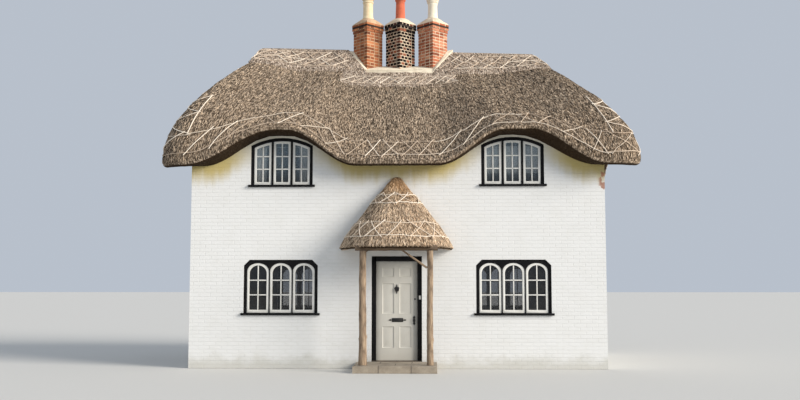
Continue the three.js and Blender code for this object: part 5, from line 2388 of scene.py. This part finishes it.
    def poles(self) -> Piece:
        """The pole across the posts and the two that run back to the wall.

        Returns:
            The poles as one object.
        """
        past_post = 0.15
        across = np.linspace(self.left_x - past_post, self.right_x + past_post, 60)
        front = points_at(across, self.post_y, self.pole_z)
        parts = [self.log("front_pole", front, np.full(60, 0.052), 101, 5)]
        for x, seed in ((self.left_x, 103), (self.right_x, 105)):
            back = points_at(x, np.linspace(self.post_y, self.wall_y - 0.0005, 30), self.pole_z)
            parts.append(self.log("side_pole", back, np.full(30, 0.05), seed, 2))
        return Bench.join("porch_poles", parts)

    def step(self) -> Piece:
        """The stone step in front of the door, worn along its edges.

        Returns:
            The step.
        """
        half, front, top = self.step_half, self.step_front, self.step_top
        slab = Bench.box("stone_step", (-half, front, 0.0), (half, self.wall_y, top), 0)
        Bench.edit(slab)
        bpy.ops.mesh.subdivide(number_cuts=18)
        Bench.leave()
        places = np.array([v.co for v in slab.data.vertices])
        edge = np.minimum(half - np.abs(places[:, 0]), np.abs(places[:, 1] - front))
        worn = np.clip(1 - edge / 0.06, 0, 1) * (places[:, 2] > 0.1)
        hollows = 0.003 * (1 + Wander.value(places, 0.2, 111))
        places[:, 2] -= worn * 0.008 + (places[:, 2] > top - 0.001) * hollows
        slab.data.vertices.foreach_set("co", places.astype(np.float32).ravel())
        Bench.smooth(slab, 40)
        return slab

    def build(self) -> None:
        """Builds and dresses the porch."""
        surface = self.cone()
        dress(self.thatch(surface), self.finishes.porch.on_slope(), "ridge_thatch", "house", "porch_thatch")
        size = StrawSize(0.075, 0.0095, 0.065)
        straws = surface.straws(self.straws, (1, self.columns - 2), (2, 86), size, 93)
        for block in straws.points:
            block[:, 1] = np.minimum(block[:, 1], self.wall_y - 0.001)
        dress(straws.build("porch_loose_straws"), self.finishes.porch.loose(), "ridge_thatch", "house")
        dress(self.rods(surface).build("porch_rods"), self.finishes.hazel.loose(), "ridge_thatch", "house")
        peeled = Log("peeled_log", (0.42, 0.31, 0.205), (0.17, 0.11, 0.07), (0.08, 0.05, 0.03)).make()
        dark = Log("dark_pole", (0.2, 0.14, 0.09), (0.1, 0.065, 0.04), (0.035, 0.024, 0.016)).make()
        left = self.post("left_post", self.left_x, self.left_radii, 113)
        right = self.post("right_post", self.right_x, self.right_radii, 115)
        dress(left, peeled, "log", "house", "porch_post_left")
        dress(right, peeled, "log", "house", "porch_post_right")
        dress(self.poles(), dark, "log", "house", "porch_beam")
        share = np.linspace(0.1, 0.98, 40)
        low, high = self.brace_z
        line = points_at(self.right_x - self.brace_run * share, self.post_y, low + (high - low) * share)
        brace = self.log("brace_rod", line, np.linspace(0.021, 0.017, 40), 117, 2)
        dress(brace, peeled, "log", "house", "porch_brace")
        dress(self.step(), Flags("step_stone").make(), "stone_floor", "house", "porch_step")


# The door


@dataclass
class Doorway:
    """The black frame, the six-panelled leaf and its black fittings."""

    face: float = -2.21
    half: float = 0.419
    foot: float = 0.157
    height: float = 1.981
    play: float = 0.007
    front: float = -2.15
    thickness: float = 0.044
    stile: float = 0.121
    muntin: float = 0.092
    panels: tuple[Span, ...] = ((0.24, 0.68), (0.92, 1.54), (1.66, 1.856))
    jamb: float = 0.0787
    jamb_foot: float = 0.1503
    head: float = 0.0917
    stop: float = 0.012
    hinge_heights: tuple[float, ...] = (0.18, 0.99, 1.8)
    hinge_length: float = 0.09
    bell: tuple[float, float, float] = (0.465, -2.2215, 1.41)

    def surround(self) -> Piece:
        """The frame: two jambs and a head, rebated for the leaf.

        Returns:
            The frame.
        """
        clear, top = self.half + self.play, self.foot + self.height + self.play
        crown = top + self.head
        rebates = ((self.stop, self.face, self.face + 0.055), (0.0, self.face + 0.05, self.face + 0.11))
        parts = []
        for side in (-1, 1):
            for stop, front, back in rebates:
                near, far = sorted((side * (clear - stop), side * (clear + self.jamb)))
                parts.append(Bench.box("jamb", (near, front, self.jamb_foot), (far, back, crown), 0.004))
        for stop, front, back in rebates:
            low, high = (-clear - 0.02, front, top - stop), (clear + 0.02, back, crown)
            parts.append(Bench.box("head", low, high, 0.004))
        made = Bench.join("door_surround", parts)
        Bench.smooth(made)
        return made

    def leaf(self) -> Piece:
        """The leaf with its panels moulded on both faces.

        Returns:
            The leaf.
        """
        back, top = self.front + self.thickness, self.foot + self.height
        leaf = Bench.box("panelled_leaf", (-self.half, self.front, self.foot), (self.half, back, top), 0)
        near, far = self.muntin / 2, self.half - self.stile
        Bench.edit(leaf)
        for x in (-far, -near, near, far):
            bpy.ops.mesh.select_all(action="SELECT")
            bpy.ops.mesh.bisect(plane_co=(x, 0, 0), plane_no=(1, 0, 0))
        for z in (z for panel in self.panels for z in panel):
            bpy.ops.mesh.select_all(action="SELECT")
            bpy.ops.mesh.bisect(plane_co=(0, 0, self.foot + z), plane_no=(0, 0, 1))
        Bench.leave()
        for face_y in (self.front, back):
            for low, high in self.panels:
                zs = (self.foot + low, self.foot + high)
                for side in (-1, 1):
                    self.panel(leaf, face_y, sorted((side * near, side * far)), zs)
        Bench.bevel(leaf, 0.002, 2)
        Bench.smooth(leaf, 40)
        return leaf

    @staticmethod
    def panel(leaf: Piece, y: float, xs: Sequence[float], zs: Sequence[float]) -> None:
        """Sinks one panel: a bead, a slope and a raised field.

        Args:
            leaf: The leaf.
            y: The face that the panel is on.
            xs: Its sides.
            zs: Its foot and head.
        """
        Bench.edit(leaf)
        bpy.ops.mesh.select_all(action="DESELECT")
        Bench.leave()
        for face in leaf.data.polygons:
            middle = face.center
            inside = xs[0] < middle.x < xs[1] and zs[0] < middle.z < zs[1]
            face.select = inside and abs(middle.y - y) < 1e-4
        bpy.ops.object.mode_set(mode="EDIT")
        bpy.ops.mesh.select_mode(type="FACE")
        for thickness, depth in ((0.004, 0.004), (0.012, -0.014), (0.02, 0.0), (0.03, 0.005)):
            bpy.ops.mesh.inset(thickness=thickness, depth=depth)
        Bench.leave()

    @staticmethod
    def button(name: str, profile: Sequence[Point], spot: Point, steps: int = 24) -> Piece:
        """A small turned form that faces the front.

        Args:
            name: The object's name.
            profile: Radius and height from its back.
            spot: The middle of its back.
            steps: How many faces go round.

        Returns:
            The form.
        """
        made = Bench.turned(name, profile, (0, 0), steps)
        made.data.transform(Matrix.Translation(spot) @ Matrix.Rotation(math.radians(90), 4, "X"))
        return made

    def plate(self, outline: Sequence[Span], x: float, z: float, thick: float, worn: float) -> Piece:
        """A flat plate on the leaf.

        Args:
            outline: Its corners round its middle, as x and z.
            x: Its middle.
            z: The height of its middle.
            thick: How far it stands off the leaf.
            worn: How wide its rounded edges are.

        Returns:
            The plate.
        """
        corners = [(across + x, up + z) for across, up in outline]
        made = Bench.prism("plate", corners, self.front - thick, self.front - 0.0003)
        Bench.bevel(made, worn, 2)
        return made

    def knocker(self) -> Piece:
        """The knocker: a plate shaped like an urn, with a ring on a boss.

        Returns:
            The knocker.
        """
        z = self.foot + 1.42
        side = (
            (0.012, 0.074), (0.007, 0.054), (0.03, 0.044), (0.052, 0.026),
            (0.05, 0.004), (0.022, -0.036), (0.008, -0.052), (0.014, -0.072),
        )
        outline = [(0, 0.097), *side, (0, -0.097), *[(-x, up) for x, up in reversed(side)]]
        plate = self.plate(outline, 0, z, 0.012, 0.003)
        Bench.pick()
        bpy.ops.mesh.primitive_torus_add(
            location=(0, self.front - 0.02, z - 0.014), rotation=(math.radians(84), 0, 0), major_segments=40,
            minor_segments=12, major_radius=0.036, minor_radius=0.0065,
        )
        ring = bpy.context.object
        bpy.ops.object.transform_apply()
        profile = [(0.0, 0.0), (0.012, 0.0), (0.013, 0.008), (0.008, 0.016), (0.0, 0.018)]
        boss = self.button("boss", profile, (0, self.front - 0.01, z + 0.024))
        return Bench.join("urn_knocker", [plate, ring, boss])

    def letter_plate(self) -> Piece:
        """The letter plate with its flap.

        Returns:
            The letter plate.
        """
        x, z = 0.015, self.foot + 0.802
        half, tall, front = 0.092, 0.022, self.front - 0.014
        quarter = [(0.113, 0.04), (0.114, 0.012), (0.128, 0.008), (0.146, 0.018), (0.178, 0.002)]
        plate = self.plate(fourfold(quarter), x, z, 0.0085, 0.0025)
        flap = Bench.box("flap", (x - half, front, z - tall), (x + half, front + 0.008, z + tall), 0.003)
        return Bench.join("letter_flap", [plate, flap])

    def pull(self) -> Piece:
        """The bowed pull on its plate.

        Returns:
            The pull.
        """
        x, z = 0.347, self.foot + 0.794
        quarter = [(0.002, 0.096), (0.012, 0.082), (0.026, 0.062), (0.017, 0.04), (0.026, 0.008)]
        plate = self.plate(fourfold(quarter), x, z, 0.006, 0.002)
        turn = np.linspace(0, math.pi, 16)
        bow = points_at(x, self.front - 0.004 - 0.036 * np.sin(turn) ** 0.7, z + 0.058 * np.cos(turn))
        grip = Batch()
        grip.rod(bow, 0.007, 0.5, sides=12)
        return Bench.join("bowed_pull", [grip.build("grip"), plate])

    def hinges(self) -> Piece:
        """The three butt hinges: their knuckles and the flaps on the leaf's back.

        Returns:
            The hinges.
        """
        x, y = -self.half - 0.0035, self.front + self.thickness + 0.009
        feet = [self.foot + height for height in self.hinge_heights]
        rods = Batch()
        for foot in feet:
            rods.rod(points_at(x, y, foot + np.linspace(0, self.hinge_length, 4)), 0.0088, 0.5, sides=16)
        parts = [rods.build("knuckles")]
        for foot in feet:
            head = foot + self.hinge_length
            parts.append(Bench.box("flap", (x, y - 0.01, foot), (x + 0.034, y - 0.0062, head), 0.001))
        return Bench.join("door_hinges", parts)

    def fittings(self) -> dict[str, Piece]:
        """Everything black on the leaf.

        Returns:
            The pieces, by the solid that they stand for where there is one.
        """
        lock = [(0.0, 0.0), (0.017, 0.0), (0.0175, 0.003), (0.014, 0.007), (0.006, 0.008), (0.0, 0.0078)]
        made = {
            "door_knocker": self.knocker(),
            "letter_plate": self.letter_plate(),
            "door_pull": self.pull(),
            "lock": self.button("round_lock", lock, (0.366, self.front, 1.377), 32),
            "hinges": self.hinges(),
        }
        for piece in made.values():
            Bench.smooth(piece, 40)
        return made

    def build(self) -> None:
        """Builds and dresses the doorway."""
        black = Gloss("black_joinery", (0.006, 0.006, 0.007), (0.06, 0.05, 0.04), 0.4, 0.2, 0.12).make()
        cream = Gloss("door_paint", (0.585, 0.57, 0.515), (0.42, 0.395, 0.32), 0.4, 0.22).make()
        iron = Gloss("black_iron", (0.01, 0.01, 0.01), (0.09, 0.075, 0.06), 0.35, 0.3).make()
        dress(self.surround(), black, "black_paint", "house", "door_frame")
        dress(self.leaf(), cream, "cream_paint", "door", "door_leaf")
        fittings = self.fittings()
        for name in ("door_knocker", "letter_plate", "door_pull"):
            dress(fittings[name], iron, "black_iron", "door", name)
        dress(fittings["lock"], iron, "black_iron", "door")
        dress(fittings["hinges"], iron, "black_iron", "door")
        plate = Bench.box("bell_plate", (0.445, -2.222, 1.372), (0.485, -2.2097, 1.447), 0.004)
        profile = [(0.0, 0.0), (0.009, 0.0), (0.009, 0.005), (0.005, 0.008), (0.0, 0.008)]
        bell = Bench.join("bell_push", [self.button("knob", profile, self.bell), plate])
        Bench.smooth(bell, 40)
        white = Gloss("bell_white", (0.78, 0.77, 0.72), (0.4, 0.36, 0.28), 0.35, 0.2).make()
        dress(bell, white, "white_paint", "house")


def fourfold(quarter: Sequence[Span]) -> list[Span]:
    """Turns an outline's upper right quarter into the whole outline.

    Args:
        quarter: The corners of the quarter, from one axis to the other.

    Returns:
        The corners all round.
    """
    right = [*quarter, *[(x, -up) for x, up in reversed(quarter)]]
    return [*right, *[(-x, up) for x, up in reversed(right)]]


# The studio


@dataclass
class Studio:
    """A pale floor, soft daylight and the camera where the photographer stood."""

    spot: tuple[float, float, float] = (0.7, -21.35, 1.66)
    pitch: float = 5.11
    turn: float = 1.9
    lens: float = 42.75
    sun: tuple[float, float, float] = (23.7, -11.2, 13.3)
    sun_power: float = 4.3
    sun_colour: Colour = (1.0, 0.94, 0.86)
    sun_spread: float = 28
    sky_colour: Colour = (0.8, 0.88, 1.0)
    sky_power: float = 0.6

    def build(self) -> None:
        """Sets the floor, the light and the camera."""
        Bench.pick()
        bpy.ops.mesh.primitive_plane_add(size=400, location=(0, 0, -0.002))
        floor = bpy.context.object
        floor.name = "studio_floor"
        paint = Paint("studio_floor")
        floor.data.materials.append(paint.finish(Base_Color=(0.62, 0.61, 0.58), Roughness=0.9))
        world = bpy.data.worlds.new("studio_sky")
        world.use_nodes = True
        sky = world.node_tree.nodes["Background"]
        sky.inputs[0].default_value = (*self.sky_colour, 1)
        sky.inputs[1].default_value = self.sky_power
        bpy.context.scene.world = world
        self.hang_sun()
        camera = bpy.data.cameras.new("camera")
        camera.lens, camera.sensor_width = self.lens, 36
        camera.clip_end = 600
        holder = bpy.data.objects.new("camera", camera)
        holder.location = self.spot
        holder.rotation_euler = (math.radians(90 + self.pitch), 0, math.radians(self.turn))
        bpy.context.scene.collection.objects.link(holder)
        bpy.context.scene.camera = holder
        bpy.context.scene.view_settings.view_transform = "Standard"

    def hang_sun(self) -> None:
        """Hangs the sun, softened as by thin cloud, so that it shines at the house."""
        lamp = bpy.data.lights.new("key", "SUN")
        lamp.energy, lamp.color, lamp.angle = self.sun_power, self.sun_colour, math.radians(self.sun_spread)
        holder = bpy.data.objects.new("key", lamp)
        holder.location = self.sun
        holder.rotation_euler = (Vector((0, 0, 3)) - Vector(self.sun)).to_track_quat("-Z", "Y").to_euler()
        bpy.context.scene.collection.objects.link(holder)


def main() -> None:
    """Builds the cottage's looks in order."""
    logging.basicConfig(level=logging.INFO, format="%(message)s")
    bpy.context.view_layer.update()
    finishes = Finishes()
    Studio().build()
    Walls().build()
    Windows().build()
    Doorway().build()
    Chimney(finishes).build()
    Porch(finishes).build()
    Roof(finishes).build()


if __name__ == "__main__":
    main()
